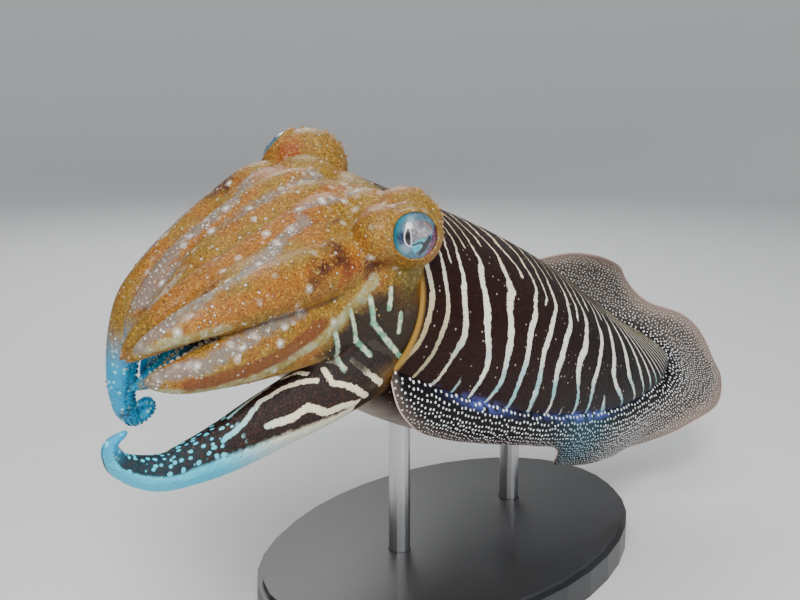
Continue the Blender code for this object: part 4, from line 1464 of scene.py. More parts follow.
class ArmReading:
    """Where points lie against the nearest arm: its number, share, angle and running length."""

    def __init__(self, points: Points, steps: int = 240) -> None:
        """Measure points.

        Args:
            points: array in the animal's frame.
            steps: places along each arm that are looked at.
        """
        samples = np.linspace(0.0, 1.0, steps)
        best = np.full(len(points), 1e9)
        second = np.full(len(points), 1e9)
        self.arm = np.zeros(len(points), dtype=int)
        self.share = np.zeros(len(points))
        for number, arm in enumerate(ARMS):
            here, _, _ = arm.frames(samples)
            tree = KDTree(len(samples))
            for index, place in enumerate(here):
                tree.insert(place, index)
            tree.balance()
            found = [tree.find(point)[1:] for point in points.tolist()]
            index = np.array([row[0] for row in found])
            across, out, half_width, half_depth = self.section(arm, samples[index], points)
            gap = (np.hypot(across, out) - 1.0) * (half_width + half_depth) / 2
            closer = gap < best
            second = np.where(closer, best, np.minimum(second, gap))
            best = np.where(closer, gap, best)
            self.arm = np.where(closer, number, self.arm)
            self.share = np.where(closer, samples[index], self.share)
        self.weight = ease(0.06, 0.2, self.share) * ease(6.0, 2.5, best)
        # Weight of the painted shade in the grooves where a second arm lies close.
        self.groove = ease(1.6, 0.2, second) * self.weight
        self.angle = np.zeros(len(points))
        self.radius = np.zeros(len(points))
        self.run = np.zeros(len(points))
        for number, arm in enumerate(ARMS):
            chosen = self.arm == number
            across, out, self.radius[chosen], _ = self.section(arm, self.share[chosen], points[chosen])
            self.angle[chosen] = np.arctan2(across, out)
            self.run[chosen] = self.share[chosen] * arm.length()
        self.degrees = np.degrees(self.angle)

    def section(self, arm: Arm, shares: Points, points: Points) -> tuple[Points, Points, Points, Points]:
        """Place points in an arm's section.

        Args:
            arm: the arm.
            shares: share of its length at each point.
            points: the points.

        Returns:
            Distances across and out against the arm's half width and half depth, and those two sizes.
        """
        here, sideways, outward = arm.frames(shares)
        half_width, half_depth, _ = arm.girth(shares)
        across = np.sum((points - here) * sideways, axis=1) / half_width
        return across, np.sum((points - here) * outward, axis=1) / half_depth, half_width, half_depth


@dataclass(frozen=True)
class HeadFinish:
    """Skin of the head, arms and funnel: ochre and orange with fine stipple, grey streaks, flecks and painted
    shade.
    """

    ochre: Colour = (0.250, 0.142, 0.015)
    orange: Colour = (0.300, 0.108, 0.008)
    red: Colour = (0.270, 0.036, 0.004)
    # Maroon patches, and also the colour of the painted shade in the grooves between arms.
    maroon: Colour = (0.045, 0.008, 0.004)
    olive: Colour = (0.165, 0.120, 0.015)
    lilac: Colour = (0.175, 0.170, 0.175)
    fleck: Colour = (0.86, 0.84, 0.76)
    # Painted shade over the lower sides of the head below the eyes.
    shade: Colour = (0.0085, 0.0030, 0.0018)
    cyan: Colour = (0.004, 0.34, 0.62)
    pale_cyan: Colour = (0.07, 0.66, 0.86)
    cream: Colour = (0.93, 0.84, 0.60)
    band_ground: Colour = (0.0115, 0.0028, 0.0017)
    sucker: Colour = (0.46, 0.38, 0.28)
    moss: Colour = (0.12, 0.34, 0.22)
    margin: Colour = (0.40, 0.46, 0.30)
    margin_olive: Colour = (0.30, 0.26, 0.08)
    umber: Colour = (0.14, 0.028, 0.008)
    dark_spot: Colour = (0.085, 0.020, 0.004)
    gold_spot: Colour = (0.66, 0.42, 0.06)
    brown_mist: Colour = (0.10, 0.032, 0.006)
    gold_mist: Colour = (0.60, 0.42, 0.12)
    band_tip: Colour = (0.004, 0.030, 0.045)
    band_grain: Colour = (0.13, 0.036, 0.012)
    band_under: Colour = (0.36, 0.52, 0.60)
    band_under_tip: Colour = (0.01, 0.34, 0.62)
    band_rim: Colour = (0.50, 0.20, 0.012)
    cyan_spot: Colour = (0.30, 0.84, 0.92)
    cyan_cloud: Colour = (0.010, 0.20, 0.36)
    moss_light: Colour = (0.62, 0.68, 0.50)
    papilla_light: Colour = (0.56, 0.40, 0.20)
    papilla_dark: Colour = (0.34, 0.18, 0.04)
    funnel_light: Colour = (0.50, 0.43, 0.36)
    funnel_dark: Colour = (0.16, 0.06, 0.03)

    def stippled(self, s: Surface) -> Any:
        """Ochre and orange ground made of tiny pigment spots.

        Args:
            s: the finish's graph.

        Returns:
            The colour's socket.
        """
        broad = s.noise(12.0, 4.0)
        base = s.mix(broad.step(0.42, 0.66), self.ochre, self.orange)
        tints = {"olive": self.olive, "orange_ridge": self.orange, "red": self.red, "maroon": self.maroon}
        for tint, colour in tints.items():
            ragged = (s.value(tint) + (s.noise(4.0, 5.0, 0.7) - 0.5) * 1.1).step(0.25, 0.85)
            base = s.mix(ragged * s.value(tint).step(0.03, 0.25), base, colour)
        spots = s.cells(0.66)
        bright = s.chance(spots)
        base = s.mix(s.dots(spots, 0.40, 0.14) * bright.step(0.40, 0.6) * 0.75, base, self.dark_spot)
        base = s.mix(s.dots(spots, 0.36, 0.14) * bright.step(0.40, 0.25) * 0.6, base, self.gold_spot)
        broken = s.noise(2.2, 4.0, 0.65)
        base = s.mix(s.noise(1.4, 4.0, 0.7).step(0.47, 0.36) * 0.45, base, self.brown_mist)
        return s.mix(broken.step(0.58, 0.72) * 0.45, base, self.gold_mist)

    def flecked(self, s: Surface, base: Any) -> tuple[Any, Field]:
        """Set grey streaks and white flecks on the ground.

        Args:
            s: the finish's graph.
            base: the ground's colour.

        Returns:
            The colour's socket and the mask of the flecks.
        """
        grey = s.value("grey")
        streak = (grey + (s.noise(2.4, 5.0, 0.7) - 0.5) * 2.6).step(0.28, 1.05)
        base = s.mix(streak * grey.step(0.03, 0.45) * 0.66, base, self.lilac)
        pale = (s.value("pale") + (s.noise(2.5, 4.0, 0.65) - 0.5) * 1.3).step(0.2, 0.95)
        edge = s.mix(s.noise(3.0, 3.0).step(0.4, 0.6), self.margin, self.margin_olive)
        base = s.mix(pale * 0.62, base, edge)
        umber = (s.value("umber") + (s.noise(3.0, 3.0) - 0.5) * 0.8).step(0.3, 0.8)
        base = s.mix(umber * 0.75, base, self.umber)
        tiny, small, large = s.cells(1.25), s.cells(2.1), s.cells(3.4)
        cluster = s.noise(7.0, 3.0).step(0.44, 0.62)
        tiny_lit = (s.chance(tiny) + cluster * 0.08 + grey * 0.42).step(0.94, 1.0)
        small_lit = (s.chance(small) + cluster * 0.08 + grey * 0.36).step(0.92, 0.98)
        large_lit = (s.chance(large) + grey * 0.42).step(0.86, 0.94)
        mask = (s.dots(tiny, 0.26, 0.14) * tiny_lit * 0.8).most(s.dots(small, 0.2, 0.1) * small_lit)
        mask = mask.most(s.dots(large, 0.2, 0.13) * large_lit)
        mask = mask.most(s.dots(large, 0.34, 0.24) * large_lit * 0.5)
        mask = mask * s.value("fleck_area")
        return s.mix(mask.maths("ADD", mask, 0.0, clamp=True) * 0.9, base, self.fleck), mask

    def banded(self, s: Surface) -> tuple[Any, Field]:
        """Skin of the lowest arms: dark with cream strokes that break into dots, and a pale edge.

        Args:
            s: the finish's graph.

        Returns:
            The colour's socket and the mask of the pale marks.
        """
        tip = s.value("share").step(0.40, 0.66)
        pale = s.mix(tip, self.cream, self.pale_cyan)
        ground = s.mix(s.value("share").step(0.55, 0.85), self.band_ground, self.band_tip)
        stipple = s.cells(0.8)
        ground = s.mix(s.dots(stipple, 0.3, 0.14) * 0.5, ground, self.band_grain)
        ragged = (s.noise(1.5, 2.0) - 0.5) * 1.3
        stroke = (s.value("stroke") + ragged).step(-0.1, 0.3)
        round_cells = s.cells(1.0, s.vector(s.value("run") / 2.5, s.value("girdle") / 2.3), 0.55)
        dots = s.dots(round_cells, 0.31 + s.chance(round_cells) * 0.09, 0.06)
        dots = dots * s.value("dotted").step(0.35, 0.65)
        margin = (s.value("low_edge") + ragged * 0.5 + dots * 0.95).step(-0.15, 0.5)
        mask = stroke.most(dots).most(margin)
        under = (s.value("low_edge") * 0.5 + (s.noise(3.0, 3.0) - 0.5) * 1.6).step(0.1, 0.7)
        pale = s.mix(margin * under * 0.45, pale, s.mix(tip, self.band_under, self.band_under_tip))
        skin = s.mix(mask, ground, pale)
        rim = (s.value("rim") + (s.noise(2.0, 3.0) - 0.5) * 0.5).step(0.2, 0.7)
        skin = s.mix(rim, skin, s.mix(s.noise(1.4).step(0.35, 0.65), self.band_rim, self.olive))
        return skin, mask

    def material(self) -> bpy.types.Material:
        """Build the finish.

        Returns:
            Its material.
        """
        s = Surface("head_skin")
        ochre, flecks = self.flecked(s, self.stippled(s))
        banded, strokes = self.banded(s)
        skin = s.mix(s.value("banded"), ochre, banded)
        cyan_cells = s.cells(2.0)
        cyan = s.mix(s.dots(cyan_cells, 0.28, 0.1) * 0.9, self.cyan, self.cyan_spot)
        cyan = s.mix(s.noise(1.6, 3.0).step(0.55, 0.75) * 0.4, cyan, self.cyan_cloud)
        skin = s.mix(s.value("cyan"), skin, cyan)
        # Painted shade: darkens the lower side of the head below each eye, less where the olive patches lie.
        shade = (s.value("cheek") + (s.noise(4.0, 4.0, 0.65) - 0.5) * 9.0).step(-2.5, 3.5)
        shade = shade * s.value("cheek").step(-4.5, -1.0) * (0.96 - s.value("olive") * 0.5)
        skin = s.mix(shade, skin, self.shade)
        bars = (s.value("cheek_stroke") + (s.noise(1.5, 2.0) - 0.5) * 1.1).step(-0.1, 0.5)
        skin = s.mix(bars, skin, s.mix(s.noise(4.0).step(0.4, 0.6), self.moss, self.moss_light))
        # Painted shade: maroon darkening in the grooves between arms and along the thin crease line of the
        # fold band.
        skin = s.mix((s.value("groove") * 0.8).most(s.value("fold") * 0.6), skin, self.maroon)
        skin = s.mix(s.value("papilla"), skin, s.mix(s.noise(1.0), self.papilla_light, self.papilla_dark))
        skin = s.mix(s.value("sucker"), skin, self.sucker)
        mottled = s.mix(s.noise(3.0).step(0.42, 0.72), self.funnel_light, self.funnel_dark)
        skin = s.mix(s.value("funnel") * 0.88, skin, mottled)
        grain = s.noise(0.9, 3.0)
        pebbles = s.cells(1.1)
        height = grain * 0.7 + (1.0 - Field(s, pebbles.outputs["Distance"])) * 0.45 + s.noise(4.0, 2.0) * 0.9
        s.relief(height + flecks * 0.9 + strokes * 0.3, 0.42)
        return s.finish(Base_Color=skin, Roughness=0.44 + grain * 0.16, Coat_Weight=0.08,
                        Coat_Roughness=0.22, Specular_IOR_Level=0.32)


@dataclass
class HeadSkin:
    """One skin over the head, its eye swellings and lids, the eight arms and the funnel.

    The profiles give each ring of a sucker or a papilla: its radius and its height, against the
    sucker's radius or against the papilla's girth and height.
    """

    head: HeadForm = HeadForm()
    funnel: FunnelForm = FunnelForm()
    voxel: float = 0.62
    smoothing: int = 12
    ring_sides: int = 40
    ring_step: float = 0.9
    lid_turns: int = 90
    lid_sides: int = 20
    sucker_rows: tuple[float, ...] = (-0.72, -0.27, 0.22, 0.68)
    sucker_profile: Table = ((0.55, -1.2), (0.6, -0.2), (0.95, 0.25), (1.0, 0.6), (0.86, 0.82), (0.62, 0.7),
                             (0.4, 0.35), (0.12, 0.25))
    sucker_sides: int = 12
    sucker_from: float = 0.24
    sucker_to: float = 0.985
    sucker_girth: float = 0.145
    sucker_least: float = 0.3
    sucker_most: float = 1.25
    sucker_gap: float = 2.75
    papillae: int = 330
    papilla_profile: Table = ((1.25, -0.35), (1.0, 0.0), (0.72, 0.35), (0.5, 0.7), (0.3, 0.92))
    papilla_sides: int = 6
    brow: Triple = (2.0, 0.0, 11.0)
    seed: int = 7

    def arm_rings(self, arm: Arm) -> Points:
        """Rings of points along an arm.

        Args:
            arm: the arm.

        Returns:
            The rings from root to tip.
        """
        shares = np.linspace(0.0, 1.0, int(arm.length() / self.ring_step))
        here, sideways, outward = arm.frames(shares)
        half_width, half_depth, keel = arm.girth(shares)
        swing = circle(self.ring_sides)
        across = half_width[:, None] * np.cos(swing)
        out = half_depth[:, None] * np.sin(swing) + keel[:, None] * np.maximum(0.0, np.sin(swing)) ** 4
        return here[:, None] + sideways[:, None] * across[..., None] + outward[:, None] * out[..., None]

    def web_rings(self, first: Arm, second: Arm, end: float, depth: float) -> Points:
        """Rings of the skin that joins two arms side by side.

        Args:
            first: one arm.
            second: its neighbour.
            end: share of their length at which the skin ends.
            depth: how nearly it is level with their backs.

        Returns:
            Rings of points from the root to the end.
        """
        shares = np.linspace(0.02, end, 90)
        here, _, outward = first.frames(shares)
        there, _, beside = second.frames(shares)
        middle = (here + there) / 2
        reach = np.linalg.norm(there - here, axis=1) * 0.5
        sideways = unit(there - here)
        outward = unit(outward + beside)
        outward = unit(outward - sideways * np.sum(outward * sideways, axis=1, keepdims=True))
        tall = np.minimum(first.girth(shares)[1], second.girth(shares)[1])
        tall = tall * depth * ease(end, end - 0.3, shares) + 0.4
        swing = circle(36)
        ring = sideways[:, None] * (np.cos(swing) * reach[:, None])[..., None]
        return middle[:, None] + ring + outward[:, None] * (np.sin(swing) * tall[:, None])[..., None]

    def lid_points(self, eye: EyeForm) -> tuple[Points, list]:
        """Round lid about the clear window, thicker above.

        Args:
            eye: the eye that it frames.

        Returns:
            Its points and its faces.
        """
        across, up, look = eye.axes()
        seat = eye.centre() + look * (math.sqrt(eye.radius**2 - eye.window_radius**2) - 0.25)
        turns, sides = self.lid_turns, self.lid_sides
        thick = eye.lid * (1.0 + 0.3 * np.sin(circle(turns)))
        roll = circle(sides)
        radial = hoop(across, up, turns)
        reach = (eye.window_radius + thick)[:, None] + thick[:, None] * np.cos(roll)
        points = seat + radial[:, None] * reach[..., None] + look * (thick[:, None] * np.sin(roll))[..., None]
        faces = []
        for turn in range(turns):
            for side in range(sides):
                a, b = turn * sides, (turn + 1) % turns * sides
                beside = (side + 1) % sides
                faces.append((a + side, b + side, b + beside, a + beside))
        return points.reshape(-1, 3), faces

    def blank(self) -> bpy.types.Object:
        """Join all forms and melt them into one mesh.

        Returns:
            The piece, not yet dressed.
        """
        plan = MeshPlan()
        plan.add(*closed_rings(self.head.surface()))
        for lump in LUMPS:
            plan.add(*ball(np.array(lump.centre), 1.0, lump.radii))
        for eye in EYES:
            plan.add(*ball(eye.centre() - eye.axes()[2] * 1.2, eye.radius + 1.05))
            plan.add(*self.lid_points(eye))
        for first, second, end, depth in WEBS:
            plan.add(*closed_rings(self.web_rings(ARMS[first], ARMS[second], end, depth)))
        for arm in ARMS:
            plan.add(*closed_rings(self.arm_rings(arm)))
            plan.add(*ball(arm.frames(np.array([1.0]))[0][0], arm.tip_radius))
        plan.add(*closed_rings(self.funnel_rings()))
        piece = plan.build("head_and_arms")
        remesh = piece.modifiers.new("melt", "REMESH")
        remesh.mode = "VOXEL"
        remesh.voxel_size = self.voxel * MM
        apply_modifiers(piece)
        return piece

    def funnel_rings(self) -> Points:
        """Rings down the funnel's outside, round its mouth and back up its bore.

        Returns:
            The rings.
        """
        line = np.column_stack([np.linspace(0.0, 1.0, len(self.funnel.line)), self.funnel.line])
        shares = np.linspace(0.0, 1.0, 40)
        radii = self.funnel.root + (self.funnel.mouth - self.funnel.root) * shares
        inner = shares[-1:11:-1]
        places = np.concatenate([shares, inner])
        reach = np.concatenate([radii, np.full(len(inner), self.funnel.bore)])
        middle = np.clip(places, 0.02, 0.98)
        heading = unit(smooth(line, middle + 0.02) - smooth(line, middle - 0.02))
        sideways = unit(np.cross(heading, (0.0, 0.0, 1.0)))
        ring = hoop(sideways[:, None], np.cross(sideways, heading)[:, None] * 0.85, 40)
        return smooth(line, places)[:, None] + ring * reach[:, None, None]

    def soften(self, piece: bpy.types.Object) -> None:
        """Round the creases where forms meet, but spare the thin tips of the arms and the lids.

        Args:
            piece: the melted skin.
        """
        points = POSE.unplace(mesh_points(piece.data))
        spare = ease(1.4, 4.0, ArmReading(points).radius)
        for eye in EYES:
            spare *= 1.0 - 0.3 * near(points, eye.centre() + eye.axes()[2] * 7.0, 8.0)
        group = piece.vertex_groups.new(name="soften")
        for level in range(1, 9):
            chosen = np.where(np.ceil(spare * 8.0) == level)[0]
            group.add(chosen.tolist(), level / 8.0, "REPLACE")
        blur = piece.modifiers.new("soften", "SMOOTH")
        blur.factor = 0.5
        blur.iterations = self.smoothing
        blur.vertex_group = "soften"
        apply_modifiers(piece)
        piece.vertex_groups.clear()

    def open_lids(self, piece: bpy.types.Object) -> None:
        """Push the skin back from each clear window, so that the eyeball shows in a deep round cup.

        Args:
            piece: the melted skin.
        """
        points = POSE.unplace(mesh_points(piece.data))
        for eye in EYES:
            look = eye.axes()[2]
            local = points - eye.centre()
            depth = local @ look
            away = np.linalg.norm(local - depth[:, None] * look, axis=1)
            inside = ease(eye.window_radius + 0.9, eye.window_radius - 0.5, away) * (depth > 0.0)
            target = np.sqrt(np.maximum(eye.radius**2 - away**2, 0.0)) - eye.cup_depth
            points = points - look * (np.maximum(depth - target, 0.0) * inside)[:, None]
        write_points(piece.data, POSE.place(points))

    def colour(self, piece: bpy.types.Object) -> None:
        """Store every value that the finish reads.

        Args:
            piece: the melted skin.
        """
        points = POSE.unplace(mesh_points(piece.data))
        reading = ArmReading(points)
        flat, beside = points[:, [0, 2]], np.abs(points[:, 1])
        below = ease(-5.0, -16.0, points[:, 2]) * ease(31.0, 22.0, beside) * (1.0 - reading.weight)
        bars = np.max([1.0 - beside_line(flat, bar) for bar in CHEEK_BARS], axis=0)
        values = {
            **self.tints(points), **self.arm_marks(reading),
            # Depth inside the outline of the painted shade below each eye.
            "cheek": np.where(beside > 20.0, np.clip(inside_outline(flat, CHEEK_SHADE), FAR, -FAR), FAR),
            "cheek_stroke": np.where(beside > 24.0, np.maximum(bars, FAR), FAR),
            "funnel": np.maximum(self.funnel_weight(points), below),
        }
        for label, value in values.items():
            paint(piece.data, label, value)

    def tints(self, points: Points) -> dict[str, Points]:
        """Soft weights of the patches and bands.

        Args:
            points: array in the animal's frame.

        Returns:
            A weight at each point for each tint.
        """
        tints = {form.tint: np.zeros(len(points)) for form in (*PATCHES, *BANDS)}
        for patch in PATCHES:
            weight = patch.strength * near(points, patch.centre, patch.radius)
            tints[patch.tint] = np.maximum(tints[patch.tint], weight)
        for band in BANDS:
            weight = ease(1.7 * band.half_width, 0.3 * band.half_width, beside_line(points, band.line))
            tints[band.tint] = np.maximum(tints[band.tint], weight)
        return tints

    def arm_marks(self, reading: ArmReading) -> dict[str, Points]:
        """Marks of the arms: blue tips, painted shade between them, and the strokes, dots and edges of the
        lowest pair.

        Args:
            reading: where the points lie against the arms.

        Returns:
            Named values for the finish.
        """
        share, angle = reading.share, reading.degrees
        girdle = reading.angle * reading.radius
        banded = np.isin(reading.arm, (6, 7)) * reading.weight
        cyan = np.max([(reading.arm == number) * ease(start, full, share) * strength
                       for number, start, full, strength in BLUE_TIPS], axis=0)
        stroke = np.full(len(share), FAR)
        steps = np.linspace(0, 1, 50)
        for mark in STROKES:
            runs, angles = np.array(mark.line, dtype=float).T
            radius = np.interp(runs, steps, ARMS[6].girth(steps)[0])
            laid = np.stack([runs * ARMS[6].length(), np.radians(angles) * radius], axis=1)
            reach = mark.half_width - beside_line(np.stack([reading.run, girdle], axis=1), laid)
            stroke = np.maximum(stroke, np.minimum(reach, 2.0))
        edge = np.interp(share, (0.3, 0.44, 0.62, 0.8, 1.0), (-14, -1, 14, 16, 10))
        low_edge = np.minimum(np.where(share > 0.24, (edge - angle) / 16.0, -2.0), (angle + 58.0) / 12.0)
        return {
            "banded": banded, "cyan": cyan, "stroke": stroke, "low_edge": np.clip(low_edge, -2.0, 2.0),
            "share": share, "run": reading.run, "girdle": girdle, "groove": reading.groove * 0.8,
            "dotted": ease(0.5, 0.62, share) * ease(150.0, 120.0, np.abs(angle)),
            "rim": banded * ease(0.52, 0.2, share) * ease(-30.0, -56.0, angle) * ease(-150.0, -120.0, angle),
            "fleck_area": 0.6 + 0.4 * reading.weight,
        }

    def funnel_weight(self, points: Points) -> Points:
        """Weight of the funnel's skin.

        Args:
            points: array in the animal's frame.

        Returns:
            1 on the funnel and 0 away from it.
        """
        line = smooth(np.column_stack([np.linspace(0, 1, 4), self.funnel.line]), np.linspace(0.3, 1.0, 20))
        distance = np.min(np.linalg.norm(points[:, None] - line[None], axis=2), axis=1)
        return ease(self.funnel.root - 1.0, self.funnel.mouth + 1.0, distance)

    def suckers(self, plan: MeshPlan) -> int:
        """Add rows of small cups on the inner face of each arm.

        Args:
            plan: mesh to add to.

        Returns:
            How many there are.
        """
        chance = np.random.default_rng(self.seed)
        found = 0
        for arm in ARMS:
            total = arm.length()
            spread = 0.6 if arm is ARMS[6] else 1.0
            for number, row in enumerate(value * spread for value in self.sucker_rows):
                place = self.sucker_from * total + 1.2 * (number % 2)
                while place < self.sucker_to * total:
                    share = np.array([place / total])
                    here, sideways, outward = (value[0] for value in arm.frames(share))
                    half_width, half_depth, _ = (float(value[0]) for value in arm.girth(share))
                    radius = max(self.sucker_least, self.sucker_girth * half_width * spread)
                    radius = min(self.sucker_most, radius) * (1.0 + chance.uniform(-0.1, 0.1))
                    depth = half_depth * math.sqrt(1.0 - row**2)
                    middle = here + sideways * half_width * row - outward * depth
                    facing = unit(sideways * row * 0.55 - outward)
                    place += self.sucker_gap * radius
                    if not clear_of_arms(arm, middle + facing * radius):
                        continue
                    across = unit(np.cross(facing, (0.3, 0.5, 0.8)))
                    ring = hoop(across, np.cross(facing, across), self.sucker_sides)
                    rows = [middle + facing * radius * lift + ring * radius * reach
                            for reach, lift in self.sucker_profile]
                    cyan = 1.0 if arm is ARMS[3] and share[0] > 0.66 else 0.0
                    plan.add(*closed_rings(np.array(rows)), sucker=1.0 - cyan, cyan=cyan,
                             share=float(share[0]), **UNMARKED)
                    found += 1
        return found

    def grow_papillae(self, plan: MeshPlan, piece: bpy.types.Object) -> None:
        """Add small soft points of skin over the brows, the crown and the arms' backs.

        Args:
            plan: mesh to add to.
            piece: the melted skin.
        """
        chance = np.random.default_rng(self.seed + 1)
        points = POSE.unplace(mesh_points(piece.data))
        normals = np.zeros(len(points) * 3)
        piece.data.vertex_normals.foreach_get("vector", normals)
        normals = normals.reshape(-1, 3) @ np.array(POSE.matrix())[:3, :3]
        reading = ArmReading(points)
        weight = np.full(len(points), 0.02)
        brows = [eye.bulge() + np.array(self.brow) for eye in EYES]
        for eye, brow in zip(EYES, brows):
            weight = weight + 1.3 * near(points, brow, 10.0)
            weight = weight * (1.0 - near(points, np.array(eye.window), 8.0))
        weight = weight + 0.18 * near(points, (-20, 0, 30), 16.0)
        weight = weight + 0.10 * (np.abs(reading.degrees) < 60) * reading.weight
        weight = weight * (points[:, 0] < 2.0) * (reading.groove < 0.3)
        weight = weight * (reading.share < 0.8) * (reading.arm < 6)
        picks = chance.choice(len(points), self.papillae, replace=False, p=weight / weight.sum())
        for pick in picks:
            closeness = max(float(near(points[pick], brow, 11.0)) for brow in brows)
            height = chance.uniform(0.3, 0.55) + 0.9 * closeness * chance.uniform(0.2, 1.0)
            girth = 0.32 + 0.22 * height
            normal = normals[pick]
            lean = unit(chance.normal(size=3)) * 0.35
            across = unit(np.cross(normal, (0.3, 0.2, 0.9)))
            ring = hoop(across, np.cross(normal, across), self.papilla_sides)
            rows = [points[pick] + normal * height * lift + lean * height * lift**2 + ring * girth * reach
                    for reach, lift in self.papilla_profile]
            plan.add(*closed_rings(np.array(rows)), papilla=0.55, share=0.2, **UNMARKED)

    def build(self) -> bpy.types.Object:
        """Build and dress the skin.

        Returns:
            The piece.
        """
        piece = self.blank()
        self.soften(piece)
        self.open_lids(piece)
        self.colour(piece)
        plan = MeshPlan()
        count = self.suckers(plan)
        self.grow_papillae(plan, piece)
        join(piece, plan.build("small_forms"))
        piece.data.shade_smooth()
        piece.data.materials.clear()
        piece.data.materials.append(HeadFinish().material())
        LOG.info("%d suckers and %d papillae built", count, self.papillae)
        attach(piece, "root")
        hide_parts("head", "funnel", *(name for arm in ARMS for name in arm.node_names()))
        return piece


# Eyes.


@dataclass(frozen=True)
class EyeFinish:
    """Finish of an eyeball: blue and lilac iris, black pupil with a white edge, turquoise fold."""

    iris: Colour = (0.030, 0.105, 0.170)
    iris_light: Colour = (0.075, 0.150, 0.210)
    ring: Colour = (0.006, 0.160, 0.230)
    ink: Colour = (0.004, 0.010, 0.060)
    mist: Colour = (0.17, 0.27, 0.33)
    hood_dark: Colour = (0.120, 0.110, 0.130)
    hood_light: Colour = (0.245, 0.230, 0.260)
    warm: Colour = (0.16, 0.055, 0.020)
    turquoise: Colour = (0.008, 0.34, 0.38)
    flap_dark: Colour = (0.012, 0.24, 0.36)
    flap_light: Colour = (0.05, 0.44, 0.56)
    plum_dark: Colour = (0.035, 0.006, 0.030)
    plum_light: Colour = (0.17, 0.045, 0.11)
    halo: Colour = (0.68, 0.66, 0.74)
    black: Colour = (0.0008, 0.0008, 0.001)

    def material(self) -> bpy.types.Material:
        """Build the finish.

        Returns:
            Its material.
        """
        s = Surface("eye_wet")
        blur = s.noise(1.2, 3.0)
        base = s.mix(blur.step(0.35, 0.65), self.iris, self.iris_light)
        base = s.mix(s.value("ring").step(0.0, 1.0), base, self.ring)
        base = s.mix(s.value("ink").step(0.15, 0.85) * blur.step(0.25, 0.5), base, self.ink)
        base = s.mix(s.value("mist").step(0.1, 0.9), base, self.mist)
        hood = s.mix(s.noise(0.9, 4.0).step(0.4, 0.62), self.hood_dark, self.hood_light)
        hood = s.mix(s.value("warm").step(0.2, 0.9) * 0.85, hood, self.warm)
        base = s.mix(s.value("hood").step(-0.12, 0.2), base, hood)
        base = s.mix(s.value("turquoise").step(-0.1, 0.12), base, self.turquoise)
        flap = s.mix(blur.step(0.35, 0.6), self.flap_dark, self.flap_light)
        base = s.mix(s.value("flap").step(-0.08, 0.1), base, flap)
        plum = s.mix(blur.step(0.4, 0.6), self.plum_dark, self.plum_light)
        base = s.mix(s.value("plum").step(0.0, 0.5), base, plum)
        base = s.mix(s.value("halo").step(-0.12, 0.02), base, self.halo)
        pupil = s.value("pupil").step(-0.04, 0.05)
        base = s.mix(pupil, base, self.black)
        fibres = s.noise(0.35, 3.0)
        s.relief(fibres * 0.3 + s.value("hood").step(-0.2, 0.2) * 1.2 - pupil * 0.8, 0.25)
        return s.finish(Base_Color=base, Roughness=0.22 + blur * 0.1, Coat_Weight=1.0, Coat_Roughness=0.03)


